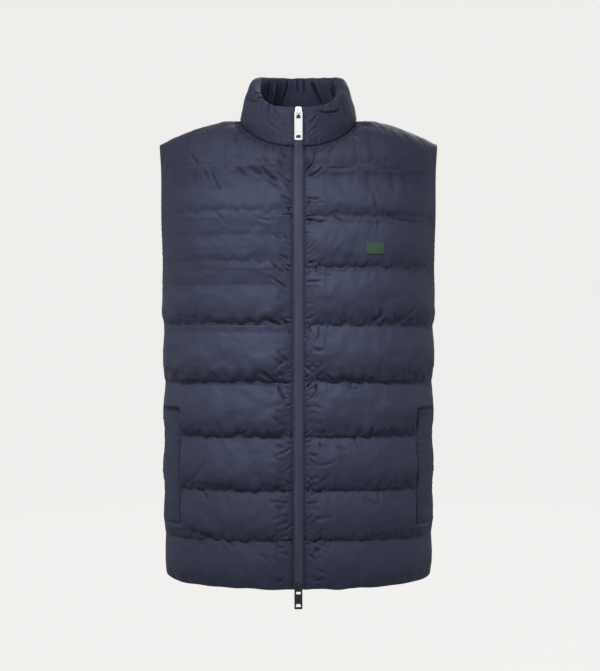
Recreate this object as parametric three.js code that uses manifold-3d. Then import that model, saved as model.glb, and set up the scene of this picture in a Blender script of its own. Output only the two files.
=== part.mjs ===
// A padded, channel-quilted vest with a stand collar and a two-way front zip, filled out as it is when worn,
// with nobody in it. Millimetres, +Z up. The front faces -Y and the garment's own left side is at +X.
// The origin is midway between the two points where the shoulder seams meet the collar.
import * as THREE from "three";
import Module from "manifold-3d";
import { mergeVertices } from "three/addons/utils/BufferGeometryUtils.js";

const wasm = await Module();
wasm.setup();

// Cloth: the padded wall is sewn flat at its seams and lofted between them.
const SEAM_THICKNESS = 3;
const SEAM_GAP = 0.3;
const LAYER_GAP = 0.35;

// Quilting: level lines of stitching, and how far the channel of padding below each one lofts over them.
const QUILT_LINES = [
  { z: -80, loft: 7 },
  { z: -156, loft: 8 },
  { z: -227, loft: 9.5 },
  { z: -308, loft: 12 },
  { z: -389, loft: 12 },
  { z: -467, loft: 11 },
  { z: -543, loft: 10 },
  { z: -614, loft: 9 },
];
const FIRST_LINE_Z = QUILT_LINES[0].z;
const HEM_Z = -682;
const HEM_RISE_AT_SIDE = 8;
const YOKE_LOFT = 6.5;
const NECK_FADE = 30;
const SIDE_FADE = 85;
const ZIP_FADE = 15;
// Where the rows of points lie in a channel, from the line above it (0) to the line below it (1).
const CHANNEL_ROWS = [0, 0.12, 0.3, 0.5, 0.7, 0.88];
// The channel that the armholes end in has more rows, down to the underarm at its middle.
const UNDERARM_CHANNEL = 2;
const UNDERARM_ROWS = [0, 0.12, 0.22, 0.32, 0.4, 0.46, 0.5, 0.7, 0.88];
const UNDERARM_PLAIN_ROWS = [0, 0.22, 0.4, 0.5];
const LOFT_SAG = 1.15;
const LOFT_FULLNESS = 0.75;

// Horizontal sections of the inside of the torso: half width, depth in front of and behind the side seam,
// and the power of the superellipse that joins them.
const SECTIONS = [
  { z: -690, halfWidth: 193, front: 117, back: 112, power: 2.4 },
  { z: -614, halfWidth: 195, front: 117, back: 110, power: 2.4 },
  { z: -543, halfWidth: 196, front: 116, back: 106, power: 2.45 },
  { z: -400, halfWidth: 195.5, front: 116, back: 102, power: 2.5 },
  { z: -308, halfWidth: 197, front: 119, back: 107, power: 2.6 },
  { z: -230, halfWidth: 201, front: 121, back: 114, power: 2.8 },
  { z: -160, halfWidth: 205, front: 118, back: 116, power: 3 },
  { z: -80, halfWidth: 207, front: 103, back: 106, power: 3 },
];

// Neckline: a ring that drops to the front. Shoulder seam: from the neckline's side out to the armhole.
const NECK_HALF_WIDTH = 86;
const NECK_FRONT = 82;
const NECK_BACK = 70;
const NECK_DROP_FRONT = 51;
const NECK_DROP_POWER = 1.25;
const NECK_RISE_BACK = 4;
const SHOULDER_SEAM = [
  { x: 86, z: -3 },
  { x: 140, z: -16.5 },
  { x: 180, z: -29 },
  { x: 206, z: -40 },
];

// Armhole: an egg-shaped opening in each side, from the underarm up to the end of the shoulder seam.
const ARMHOLE_BOTTOM_Z = -267.5;
const ARMHOLE_WIDEST_Z = -170;
const ARMHOLE_HALF_WIDTH = 56;
const ARMHOLE_NARROWING = 6;

// Columns of points across each quarter of the body, as shares of the way from its middle to its side.
// The first half of them ends at the neckline, the rest at the shoulder seam.
const COLUMNS = [
  0, 0.03, 0.08, 0.14, 0.2, 0.26, 0.32, 0.38, 0.44, 0.5, 0.56, 0.62, 0.68, 0.735, 0.79, 0.845, 0.9, 0.95, 1,
];
const NECK_COLUMN = 9;
const YOKE_ROWS = 6;
const ARCH_REACH = 0.4;
const FAN = 0.55;

// Zip: two tapes that meet in the middle, with the front panels and the collar sewn to their outer edges.
const ZIP_HALF_WIDTH = 6.8;
const TAPE_THICKNESS = 1.4;
const TAPE_DEPTH = 0.6;
const ZIP_END_BELOW_COLLAR_TOP = 4;

// Collar: a padded band that stands on the neckline and leans in.
const COLLAR_TOP_HALF_WIDTH = 66;
const COLLAR_TOP_FRONT = 70;
const COLLAR_TOP_BACK = 58;
// The height of the collar's upper edge, by angle round the neck from the front.
const COLLAR_TOP = [
  { angle: 0, z: 10 },
  { angle: 20, z: 11 },
  { angle: 40, z: 17 },
  { angle: 55, z: 27 },
  { angle: 70, z: 41 },
  { angle: 90, z: 58 },
  { angle: 110, z: 68 },
  { angle: 140, z: 73 },
  { angle: 180, z: 74 },
];
const COLLAR_EDGE_FADE = 16;
// The collar's thickness each side of its middle, by height.
const COLLAR_PROFILE = [
  { height: 0.1, out: 3, in: 3 },
  { height: 0.28, out: 4.5, in: 6.5 },
  { height: 0.5, out: 5.5, in: 8 },
  { height: 0.72, out: 6, in: 8 },
  { height: 0.9, out: 5.5, in: 6.5 },
];
// The upright folds inside the collar: angle round the neck from the front, depth, and half width in degrees.
const COLLAR_FOLDS = [
  { angle: 118, depth: 4.5, spread: 9 },
  { angle: 152, depth: 3.5, spread: 9 },
  { angle: 197, depth: 4.5, spread: 10 },
  { angle: 236, depth: 4, spread: 9 },
];

// Pocket welts: an upright strip on each front, beside the side seam.
const WELT_TOP_Z = -429;
const WELT_BOTTOM_Z = -593;
const WELT_FIRST_COLUMN = 12;
const WELT_LAST_COLUMN = 15;
const WELT_THICKNESS = 2.6;
const WELT_LOFT = 2.4;
const LOFT_UNDER_WELT = 2.5;

// A plain sewn-on patch on the garment's left chest.
const PATCH = { x: 109, z: -198, width: 25, height: 17, thickness: 1, corner: 2.5, clearance: 0.9 };

// Zip sliders and pulls.
const SLIDER = { width: 9.5, length: 13, plate: 1.5, post: 3, postWidth: 4.4, corner: 3 };
const BRIDGE = { width: 2.2, bar: 1.5, innerHalf: 1.3, legs: 3.1, room: 1.4 };
const PULL = { width: 11.5, thickness: 1.6, head: 0.95, corner: 1.8, window: 6.2, windowLength: 9 };
const PULL_HOLE = { above: 3, height: 4.4, wide: 7.8, narrow: 5.2 };
const TOP_PULL_LENGTH = 42;
const BOTTOM_PULL_LENGTH = 31;
const TOP_PULL_LEAN = 2.8;

const rad = THREE.MathUtils.degToRad;
const lerp = THREE.MathUtils.lerp;
const smooth = (low, high, at) => THREE.MathUtils.smoothstep(at, low, high);

// A table's field at a place between its rows, along a smooth curve through them.
function tableAt(rows, key, field, at) {
  const last = rows.length - 1;
  const sign = Math.sign(rows[last][key] - rows[0][key]);
  let i = 0;
  while (i < last - 1 && (at - rows[i + 1][key]) * sign > 0) i += 1;
  const [a, b] = [rows[i], rows[i + 1]];
  const span = b[key] - a[key];
  const slopeAt = (k) => {
    const [p, q] = [rows[Math.max(k - 1, 0)], rows[Math.min(k + 1, last)]];
    return (q[field] - p[field]) / (q[key] - p[key]);
  };
  const t = THREE.MathUtils.clamp((at - a[key]) / span, 0, 1);
  const [t2, t3] = [t * t, t * t * t];
  return (
    (2 * t3 - 3 * t2 + 1) * a[field] +
    (t3 - 2 * t2 + t) * span * slopeAt(i) +
    (3 * t2 - 2 * t3) * b[field] +
    (t3 - t2) * span * slopeAt(i + 1)
  );
}

// One quarter of the torso's section at a height, as points from the middle (x = 0) to the side (y = 0).
const QUARTER_STEPS = 64;
function quarterSection(z, face) {
  const halfWidth = tableAt(SECTIONS, "z", "halfWidth", z);
  const depth = tableAt(SECTIONS, "z", face < 0 ? "front" : "back", z);
  const power = 2 / tableAt(SECTIONS, "z", "power", z);
  const points = [];
  for (let i = 0; i <= QUARTER_STEPS; i += 1) {
    const angle = (i / QUARTER_STEPS) * (Math.PI / 2);
    const x = halfWidth * Math.pow(Math.sin(angle), power);
    const y = i === QUARTER_STEPS ? 0 : face * depth * Math.pow(Math.cos(angle), power);
    const before = points[i - 1];
    const along = before ? before.along + Math.hypot(x - before.x, y - before.y) : 0;
    points.push({ x, y, along });
  }
  return points;
}

// The distance along a quarter section at which one of its coordinates passes a value.
function alongWhere(section, coordinate, value) {
  const at = section.findIndex((p) => Math.abs(p[coordinate]) >= value);
  if (coordinate === "x") return interpolate(section[at - 1], section[at], "x", value, "along");
  const past = section.findIndex((p) => Math.abs(p.y) <= value);
  return interpolate(section[past - 1], section[past], "y", value * Math.sign(section[0].y), "along");
}

function interpolate(a, b, key, value, field) {
  return lerp(a[field], b[field], (value - a[key]) / (b[key] - a[key]));
}

function sectionPoint(section, along) {
  let i = 1;
  while (i < section.length - 1 && section[i].along < along) i += 1;
  const [a, b] = [section[i - 1], section[i]];
  return [interpolate(a, b, "along", along, "x"), interpolate(a, b, "along", along, "y")];
}

function armholeHalfWidth(z) {
  if (z <= ARMHOLE_BOTTOM_Z) return 0;
  if (z < ARMHOLE_WIDEST_Z) {
    const down = (z - ARMHOLE_WIDEST_Z) / (ARMHOLE_BOTTOM_Z - ARMHOLE_WIDEST_Z);
    return ARMHOLE_HALF_WIDTH * Math.sqrt(Math.max(0, 1 - down * down));
  }
  const up = (z - ARMHOLE_WIDEST_Z) / (FIRST_LINE_Z - ARMHOLE_WIDEST_Z);
  return ARMHOLE_HALF_WIDTH - ARMHOLE_NARROWING * up * up;
}

// A point of the torso's inner surface: face -1 is the front and 1 the back, share runs from middle to side.
function torsoPoint(z, face, share) {
  const section = quarterSection(z, face);
  const start = face < 0 ? alongWhere(section, "x", ZIP_HALF_WIDTH) : 0;
  const opening = armholeHalfWidth(z);
  const end = opening > 0 ? alongWhere(section, "y", opening) : section[QUARTER_STEPS].along;
  const [x, y] = sectionPoint(section, lerp(start, end, share));
  const atSeam = opening === 0 && share === 1;
  return new THREE.Vector3(x, atSeam ? (face * SEAM_GAP) / 2 : y, z);
}

// The neckline at an angle round the neck from the front, and the way that the yoke falls away from it.
const FIRST_NECK_ANGLE = Math.asin(ZIP_HALF_WIDTH / NECK_HALF_WIDTH);
function necklinePoint(angle) {
  const forward = Math.cos(angle);
  const depth = forward > 0 ? NECK_FRONT : NECK_BACK;
  const z = forward > 0 ? -NECK_DROP_FRONT * Math.pow(forward, NECK_DROP_POWER) : -NECK_RISE_BACK * forward;
  return new THREE.Vector3(NECK_HALF_WIDTH * Math.sin(angle), -depth * forward, z - 3 * Math.abs(Math.sin(angle)));
}

// The upper edge of a body panel at a column, the neckline and then the shoulder seam, and the way
// that the panel leaves it.
function upperEdge(face, share) {
  const neckShare = COLUMNS[NECK_COLUMN];
  const seamY = (face * SEAM_GAP) / 2;
  const crest = face < 0 ? 0.2 : 0;
  if (share >= neckShare) {
    const outward = (share - neckShare) / (1 - neckShare);
    const x = lerp(SHOULDER_SEAM[0].x, SHOULDER_SEAM.at(-1).x, outward);
    const point = new THREE.Vector3(x, seamY, tableAt(SHOULDER_SEAM, "x", "z", x));
    const left = 1 - outward;
    return { point, fall: new THREE.Vector3(FAN * left * left, face, -crest * left).normalize() };
  }
  const start = face < 0 ? FIRST_NECK_ANGLE : 0;
  const quarter = lerp(start, Math.PI / 2, share / neckShare);
  const angle = face < 0 ? quarter : Math.PI - quarter;
  const steepness = (face < 0 ? 0.9 : 0.55) * Math.cos(quarter) + crest * Math.sin(quarter);
  const fan = FAN * Math.sin(quarter) ** 2;
  return { point: necklinePoint(angle), fall: new THREE.Vector3(fan, face, -steepness).normalize() };
}

// The shortest distance from a point to the neckline.
const NECKLINE_SAMPLES = 48;
function distanceToNeckline(point) {
  let nearest = Infinity;
  for (let i = 0; i <= NECKLINE_SAMPLES; i += 1) {
    const angle = (Math.PI * i) / NECKLINE_SAMPLES;
    nearest = Math.min(nearest, point.distanceTo(necklinePoint(angle)));
  }
  return nearest;
}

// The yoke, between the first quilting line and the upper edge, arches over the shoulder.
function yokePoint(face, share, rise) {
  const foot = torsoPoint(FIRST_LINE_Z, face, share);
  const below = torsoPoint(FIRST_LINE_Z - 8, face, share);
  const { point: top, fall } = upperEdge(face, share);
  const reach = ARCH_REACH * foot.distanceTo(top);
  const leave = foot.clone().sub(below).normalize().multiplyScalar(reach).add(foot);
  const arrive = fall.multiplyScalar(reach).add(top);
  const arch = new THREE.CubicBezierCurve3(foot, leave, arrive, top);
  return arch.getPoint(rise);
}

// The rows of points of a body panel, from the hem to the upper edge.
function bodyRows() {
  const last = QUILT_LINES.length - 1;
  const rows = [{ channel: last, place: 1, plain: true }];
  for (let channel = last; channel >= 0; channel -= 1) {
    const underarm = channel === UNDERARM_CHANNEL;
    const places = underarm ? UNDERARM_ROWS : CHANNEL_ROWS;
    const plainPlaces = underarm ? UNDERARM_PLAIN_ROWS : [0];
    for (const place of places.toReversed()) {
      rows.push({ channel, place, plain: plainPlaces.includes(place) });
    }
  }
  for (let i = 1; i <= YOKE_ROWS; i += 1) {
    rows.push({ rise: i / YOKE_ROWS, plain: i % 2 === 0 });
  }
  return rows;
}

function rowHeight(row, share) {
  const below = QUILT_LINES[row.channel + 1];
  const foot = below ? below.z : HEM_Z + HEM_RISE_AT_SIDE * share * share;
  return lerp(QUILT_LINES[row.channel].z, foot, row.place);
}

function basePoint(row, face, share) {
  if (row.rise !== undefined) return yokePoint(face, share, row.rise);
  return torsoPoint(rowHeight(row, share), face, share);
}

// Points down the outer edge of each face's panel, on the armhole and then the side seam.
const EDGE_STEP = 6;
const sideEdges = new Map([-1, 1].map((face) => [face, sideEdge(face)]));
function sideEdge(face) {
  const points = [];
  for (let z = HEM_Z; z <= FIRST_LINE_Z; z += EDGE_STEP) points.push(torsoPoint(z, face, 1));
  for (let i = 0; i <= YOKE_ROWS; i += 1) points.push(yokePoint(face, 1, i / YOKE_ROWS));
  return points;
}

// How far the padding lofts over the seams at a row and a column.
function loftAt(row, face, share) {
  const point = basePoint(row, face, share);
  const fromZip = face < 0 ? point.x - ZIP_HALF_WIDTH : Infinity;
  const fromSide = Math.min(...sideEdges.get(face).map((edge) => edge.distanceTo(point)));
  const side = share === 1 ? 0 : 0.1 + 0.9 * smooth(0, SIDE_FADE, fromSide);
  const edges = side * smooth(0, ZIP_FADE, fromZip);
  if (row.rise !== undefined) {
    const clear = smooth(2, NECK_FADE, distanceToNeckline(point));
    return YOKE_LOFT * edges * clear * Math.pow(Math.sin(Math.PI * row.rise), 0.6);
  }
  const rounded = Math.pow(Math.sin(Math.PI * Math.pow(row.place, LOFT_SAG)), LOFT_FULLNESS);
  const puff = QUILT_LINES[row.channel].loft * (row.place === 0 || row.place === 1 ? 0 : rounded) * edges;
  const z = rowHeight(row, share);
  const column = COLUMNS.indexOf(share);
  const underWelt =
    face < 0 && z <= WELT_TOP_Z + 5 && z >= WELT_BOTTOM_Z - 5 && column >= WELT_FIRST_COLUMN && share < 1;
  return underWelt ? LOFT_UNDER_WELT : puff;
}

// Unit normals of a grid of points, pointing away from the body's middle.
function gridNormals(grid) {
  const [lastRow, lastColumn] = [grid.length - 1, grid[0].length - 1];
  return grid.map((line, r) =>
    line.map((point, c) => {
      const up = grid[Math.min(r + 1, lastRow)][c].clone().sub(grid[Math.max(r - 1, 0)][c]);
      const across = grid[r][Math.min(c + 1, lastColumn)].clone().sub(grid[r][Math.max(c - 1, 0)]);
      const normal = across.cross(up).normalize();
      const outward = new THREE.Vector3(point.x, point.y, point.z > FIRST_LINE_Z ? point.z - FIRST_LINE_Z : 0);
      return normal.dot(outward) < 0 ? normal.negate() : normal;
    }),
  );
}

// A list of points and triangles that becomes one closed solid.
class Shell {
  constructor() {
    this.points = [];
    this.faces = [];
  }

  add(grid) {
    return grid.map((line) => line.map((p) => this.points.push(p.x, p.y, p.z) / 3 - 1));
  }

  distance(a, b) {
    const [p, q] = [this.points.slice(3 * a, 3 * a + 3), this.points.slice(3 * b, 3 * b + 3)];
    return Math.hypot(p[0] - q[0], p[1] - q[1], p[2] - q[2]);
  }

  // A quad is split along its shorter diagonal, so that facing edges of two pieces are split alike.
  quad(a, b, c, d) {
    const shorter = this.distance(b, d) < this.distance(a, c) - 1e-6;
    this.faces.push(...(shorter ? [a, b, d, b, c, d] : [a, b, c, a, c, d]));
  }

  // Joins two lines of points of the same count.
  band(one, other) {
    for (let i = 0; i < one.length - 1; i += 1) this.quad(one[i], one[i + 1], other[i + 1], other[i]);
  }

  surface(ids) {
    for (let r = 0; r < ids.length - 1; r += 1) this.band(ids[r], ids[r + 1]);
  }

  // Joins a fine line to a coarse one whose points sit at the given places along the fine one.
  zipper(fine, coarse, places, flip) {
    const face = flip ? (a, b, c) => this.faces.push(a, c, b) : (a, b, c) => this.faces.push(a, b, c);
    for (let k = 0; k < places.length - 1; k += 1) {
      const middle = Math.floor((places[k] + places[k + 1]) / 2);
      for (let i = places[k]; i < places[k + 1]; i += 1) {
        face(i < middle ? coarse[k] : coarse[k + 1], fine[i], fine[i + 1]);
      }
      face(coarse[k], fine[middle], coarse[k + 1]);
    }
  }

  geometry() {
    const made = new THREE.BufferGeometry();
    made.setAttribute("position", new THREE.Float32BufferAttribute(this.points, 3));
    made.setIndex(this.volume() < 0 ? this.faces.toReversed() : this.faces);
    made.computeVertexNormals();
    return made;
  }

  volume() {
    const at = (i) => new THREE.Vector3().fromArray(this.points, i * 3);
    let six = 0;
    for (let i = 0; i < this.faces.length; i += 3) {
      const [a, b, c] = this.faces.slice(i, i + 3).map(at);
      six += a.dot(b.cross(c));
    }
    return six / 6;
  }
}

// A wall: an outer grid with all its rows, and an inner one with only the rows listed.
function wallGeometry(outer, inner, innerRows) {
  const shell = new Shell();
  const out = shell.add(outer);
  const back = shell.add(innerRows.map((r) => inner[r]));
  const last = outer[0].length - 1;
  const columnOf = (ids, c) => ids.map((line) => line[c]);
  shell.surface(out);
  shell.surface(back.map((line) => line.toReversed()));
  shell.band(back[0], out[0]);
  shell.band(out.at(-1), back.at(-1));
  shell.zipper(columnOf(out, 0), columnOf(back, 0), innerRows, false);
  shell.zipper(columnOf(out, last), columnOf(back, last), innerRows, true);
  return shell.geometry();
}

// The grid of a body quarter on the +X side, with its inner points, outward normals and outer points.
function bodyQuarter(face) {
  const rows = bodyRows();
  const inner = rows.map((row) => COLUMNS.map((share) => basePoint(row, face, share)));
  const normals = gridNormals(inner);
  const last = COLUMNS.length - 1;
  rows.forEach((row, r) => {
    normals[r][0].setX(0).normalize();
    if (armholeHalfWidth(inner[r][last].z) === 0) normals[r][last].setY(0).normalize();
  });
  // Along the shoulder seam both panels end in one plane, square to the seam.
  const seam = inner.at(-1);
  for (let c = NECK_COLUMN; c <= last; c += 1) {
    const along = seam[Math.min(c + 1, last)].clone().sub(seam[Math.max(c - 1, NECK_COLUMN)]);
    normals.at(-1)[c].set(-along.z, 0, along.x).normalize();
  }
  const outer = inner.map((line, r) =>
    line.map((point, c) => {
      const reach = SEAM_THICKNESS + loftAt(rows[r], face, COLUMNS[c]);
      return normals[r][c].clone().multiplyScalar(reach).add(point);
    }),
  );
  return { rows, inner, normals, outer };
}

const mirror = (p) => new THREE.Vector3(-p.x, p.y, p.z);
const mirrorGrid = (grid) => grid.map((line) => line.map(mirror).reverse());
const front = bodyQuarter(-1);
const back = bodyQuarter(1);
// The plain inside keeps the rows on the quilting lines, and those that shape the underarm.
const plainRows = front.rows.map((row, r) => (row.plain ? r : -1)).filter((r) => r >= 0);

function frontPanel(sign) {
  const [outer, inner] = sign > 0 ? [front.outer, front.inner] : [mirrorGrid(front.outer), mirrorGrid(front.inner)];
  return wallGeometry(outer, inner, plainRows);
}

function backPanel() {
  const whole = (grid) => grid.map((line) => [...line.slice(1).map(mirror).reverse(), ...line]);
  return wallGeometry(whole(back.outer), whole(back.inner), plainRows);
}

// Stations round the collar, from the zip edge at +X round the back to the other zip edge.
function collarStations() {
  const stations = [];
  const top = front.rows.length - 1;
  const quarter = (face, c, flip) => {
    const grid = face < 0 ? front : back;
    const point = grid.inner[top][c].clone();
    const normal = grid.normals[top][c].clone();
    if (c === NECK_COLUMN) point.setY(0);
    const start = face < 0 ? FIRST_NECK_ANGLE : 0;
    const turned = lerp(start, Math.PI / 2, COLUMNS[c] / COLUMNS[NECK_COLUMN]);
    const angle = face < 0 ? turned : Math.PI - turned;
    if (!flip) return { point, normal, angle };
    return { point: mirror(point), normal: mirror(normal), angle: 2 * Math.PI - angle };
  };
  for (let c = 0; c < NECK_COLUMN; c += 1) stations.push(quarter(-1, c, false));
  for (let c = NECK_COLUMN; c >= 0; c -= 1) stations.push(quarter(1, c, false));
  for (let c = 1; c <= NECK_COLUMN; c += 1) stations.push(quarter(1, c, true));
  for (let c = NECK_COLUMN - 1; c >= 0; c -= 1) stations.push(quarter(-1, c, true));
  stations.forEach((station, i) => {
    const atZip = i === 0 || i === stations.length - 1;
    const [before, after] = [stations[Math.max(i - 1, 0)], stations[Math.min(i + 1, stations.length - 1)]];
    station.beyond = after.point.clone().sub(before.point).cross(station.normal).normalize();
    if (atZip) station.beyond.setX(0).normalize();
    const inward = station.point.clone().negate().setZ(NECK_FRONT);
    if (station.beyond.dot(inward) < 0) station.beyond.negate();
  });
  return stations;
}

function collarTop(angle) {
  const forward = Math.cos(angle);
  const depth = forward > 0 ? COLLAR_TOP_FRONT : COLLAR_TOP_BACK;
  const fromFront = THREE.MathUtils.radToDeg(Math.min(angle, 2 * Math.PI - angle));
  const z = tableAt(COLLAR_TOP, "angle", "z", fromFront);
  return new THREE.Vector3(COLLAR_TOP_HALF_WIDTH * Math.sin(angle), -depth * forward, z);
}

function foldDepth(angle, height) {
  const degrees = THREE.MathUtils.radToDeg(angle);
  const deepest = COLLAR_FOLDS.map((fold) => {
    const off = (degrees - fold.angle) / fold.spread;
    return fold.depth * Math.exp(-off * off);
  });
  return Math.max(...deepest) * Math.sin(Math.PI * Math.min(1, 0.15 + height * 0.85));
}

// One closed section of the collar: up the outside, over the top and down the inside.
function collarSection(station) {
  const { point, normal, beyond, angle } = station;
  const top = collarTop(angle);
  const zipX = (Math.sign(point.x) || 1) * ZIP_HALF_WIDTH;
  const nearZip = Math.abs(Math.abs(point.x) - ZIP_HALF_WIDTH) < 0.01 && point.y < 0;
  if (nearZip) top.setX(zipX);
  const radial = nearZip ? new THREE.Vector3(0, -1, 0) : new THREE.Vector3(point.x, point.y, 0).normalize();
  const rise = top.clone().sub(point);
  const upright = rise.clone().normalize();
  const outward = radial.sub(upright.clone().multiplyScalar(radial.dot(upright))).normalize();
  if (nearZip) outward.setX(0).normalize();
  const foot = point.clone().addScaledVector(beyond, 2 * SEAM_GAP);
  const fromZip = angle > Math.PI ? 2 * Math.PI - angle : angle;
  const fade = smooth(0, COLLAR_EDGE_FADE, (fromZip - FIRST_NECK_ANGLE) * NECK_HALF_WIDTH);
  const fullness = lerp(0.25, 1, fade);
  const outer = [foot.clone().addScaledVector(normal, SEAM_THICKNESS)];
  const inner = [foot];
  for (const { height, out, in: into } of COLLAR_PROFILE) {
    const middle = point.clone().addScaledVector(rise, height);
    const shift = SEAM_THICKNESS * (1 - fade);
    outer.push(middle.clone().addScaledVector(outward, shift + out * fullness * (fade > 0 ? 1 : 0.2)));
    const folded = Math.max(1, into - foldDepth(angle, height)) * fade;
    inner.push(middle.clone().addScaledVector(outward, -folded));
  }
  const crest = point.clone().add(rise).addScaledVector(outward, SEAM_THICKNESS * 0.5 * (1 - fade));
  return [...outer, crest, ...inner.reverse()];
}

function collarGeometry() {
  const shell = new Shell();
  const rings = shell.add(collarStations().map(collarSection));
  rings.forEach((ring) => ring.push(ring[0]));
  shell.surface(rings);
  const half = COLLAR_PROFILE.length + 1;
  const cap = (ring, flip) => {
    for (let i = 0; i < half; i += 1) {
      const [a, b, c, d] = [ring[i], ring[i + 1], ring[2 * half - i - 1], ring[2 * half - i]];
      const corners = i === half - 1 ? [[a, b, d]] : [[a, b, c], [a, c, d]];
      for (const [p, q, r] of corners) shell.faces.push(...(flip ? [p, r, q] : [p, q, r]));
    }
  };
  cap(rings[0], true);
  cap(rings.at(-1), false);
  return shell.geometry();
}

// The zip's path up the middle of the front, at the inner face of the panels' edges, with its outward normals.
function zipPath() {
  const path = plainRows.map((r) => ({ point: front.inner[r][0].clone(), out: front.normals[r][0].clone() }));
  const neck = path.at(-1);
  const collarEnd = collarTop(FIRST_NECK_ANGLE).setX(ZIP_HALF_WIDTH);
  const lean = collarEnd.clone().sub(neck.point).normalize();
  const out = new THREE.Vector3(0, -lean.z, lean.y);
  const length = collarEnd.distanceTo(neck.point) - ZIP_END_BELOW_COLLAR_TOP;
  neck.out = neck.out.clone().add(out).normalize();
  path.push({ point: neck.point.clone().addScaledVector(lean, length / 2), out });
  path.push({ point: neck.point.clone().addScaledVector(lean, length), out });
  return path;
}

const zipLine = zipPath();

function tapeGeometry(sign) {
  const shell = new Shell();
  const edges = [SEAM_GAP / 2, ZIP_HALF_WIDTH - SEAM_GAP];
  const rings = zipLine.map(({ point, out }) => {
    const at = (x, depth) => new THREE.Vector3(sign * x, point.y, point.z).addScaledVector(out, depth);
    const [low, high] = [TAPE_DEPTH, TAPE_DEPTH + TAPE_THICKNESS];
    return [at(edges[0], low), at(edges[1], low), at(edges[1], high), at(edges[0], high)];
  });
  const ids = shell.add(rings);
  ids.forEach((ring) => ring.push(ring[0]));
  shell.surface(ids);
  const [first, last] = [ids[0], ids.at(-1)];
  shell.quad(first[3], first[2], first[1], first[0]);
  shell.quad(last[0], last[1], last[2], last[3]);
  return shell.geometry();
}

// A strip laid on a front panel, made from the panel's own outer points, moved out.
function weltGeometry(sign) {
  const inRange = front.rows
    .map((row, r) => (row.rise === undefined ? { r, z: rowHeight(row, 0) } : null))
    .filter((row) => row && row.z <= WELT_TOP_Z + 5 && row.z >= WELT_BOTTOM_Z - 5);
  const columns = [];
  for (let c = WELT_FIRST_COLUMN; c <= WELT_LAST_COLUMN; c += 1) columns.push(c);
  const lifted = (lift) =>
    inRange.map(({ r }, i) =>
      columns.map((c, k) => {
        const inside = k > 0 && k < columns.length - 1 && i > 0 && i < inRange.length - 1;
        const reach = lift + (lift > LAYER_GAP && inside ? WELT_LOFT : 0);
        return front.outer[r][c].clone().addScaledVector(front.normals[r][c], reach);
      }),
    );
  const [low, high] = [lifted(LAYER_GAP), lifted(LAYER_GAP + WELT_THICKNESS)];
  const turn = (grid) => (sign > 0 ? grid : mirrorGrid(grid));
  const everyRow = inRange.map((_, i) => i);
  return wallGeometry(turn(high), turn(low), everyRow);
}

// The panel's outer surface at a height and a distance from the middle, with its normal there.
function frontSurfaceAt(x, z) {
  const r = front.outer.findIndex((line) => line[5].z >= z);
  const c = front.outer[r].findIndex((p) => p.x >= x);
  const [a, b, d] = [front.outer[r - 1][c - 1], front.outer[r - 1][c], front.outer[r][c - 1]];
  const place = new THREE.Vector3(x, 0, z);
  place.y = a.y + ((x - a.x) / (b.x - a.x)) * (b.y - a.y) + ((z - a.z) / (d.z - a.z)) * (d.y - a.y);
  return { place, normal: front.normals[r][c] };
}

function roundedRectangle(width, height, corner) {
  const [w, h] = [width / 2, height / 2];
  const outline = new THREE.Shape();
  outline.absarc(w - corner, h - corner, corner, 0, Math.PI / 2);
  outline.absarc(-w + corner, h - corner, corner, Math.PI / 2, Math.PI);
  outline.absarc(-w + corner, -h + corner, corner, Math.PI, 1.5 * Math.PI);
  outline.absarc(w - corner, -h + corner, corner, 1.5 * Math.PI, 2 * Math.PI);
  return outline;
}

const CORNER_STEPS = 3;
// A flat plate with its outline in X and Z, running from y = near to y = far.
function plate(outline, near, far) {
  const made = new THREE.ExtrudeGeometry(outline, {
    depth: far - near,
    bevelEnabled: false,
    curveSegments: CORNER_STEPS,
  });
  return made.rotateX(Math.PI / 2).translate(0, far, 0);
}

function patchMesh() {
  const { x, z, width, height, thickness, corner, clearance } = PATCH;
  const { place, normal } = frontSurfaceAt(x, z);
  const made = plate(roundedRectangle(width, height, corner), -clearance - thickness, -clearance);
  const turn = new THREE.Quaternion().setFromUnitVectors(new THREE.Vector3(0, -1, 0), normal);
  return made.applyQuaternion(turn).translate(place.x, place.y, place.z);
}

// Solids for joining and cutting.
function solidOf(geometry) {
  const bare = geometry.index ? geometry.toNonIndexed() : geometry.clone();
  bare.deleteAttribute("normal");
  bare.deleteAttribute("uv");
  const merged = mergeVertices(bare, 1e-4);
  return new wasm.Manifold(
    new wasm.Mesh({
      numProp: 3,
      vertProperties: merged.attributes.position.array,
      triVerts: new Uint32Array(merged.index.array),
    }),
  );
}

function geometryOf(solid) {
  const mesh = solid.getMesh();
  const made = new THREE.BufferGeometry();
  made.setAttribute("position", new THREE.BufferAttribute(mesh.vertProperties.slice(), 3));
  made.setIndex(new THREE.BufferAttribute(mesh.triVerts.slice(), 1));
  made.computeVertexNormals();
  return made;
}

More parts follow.
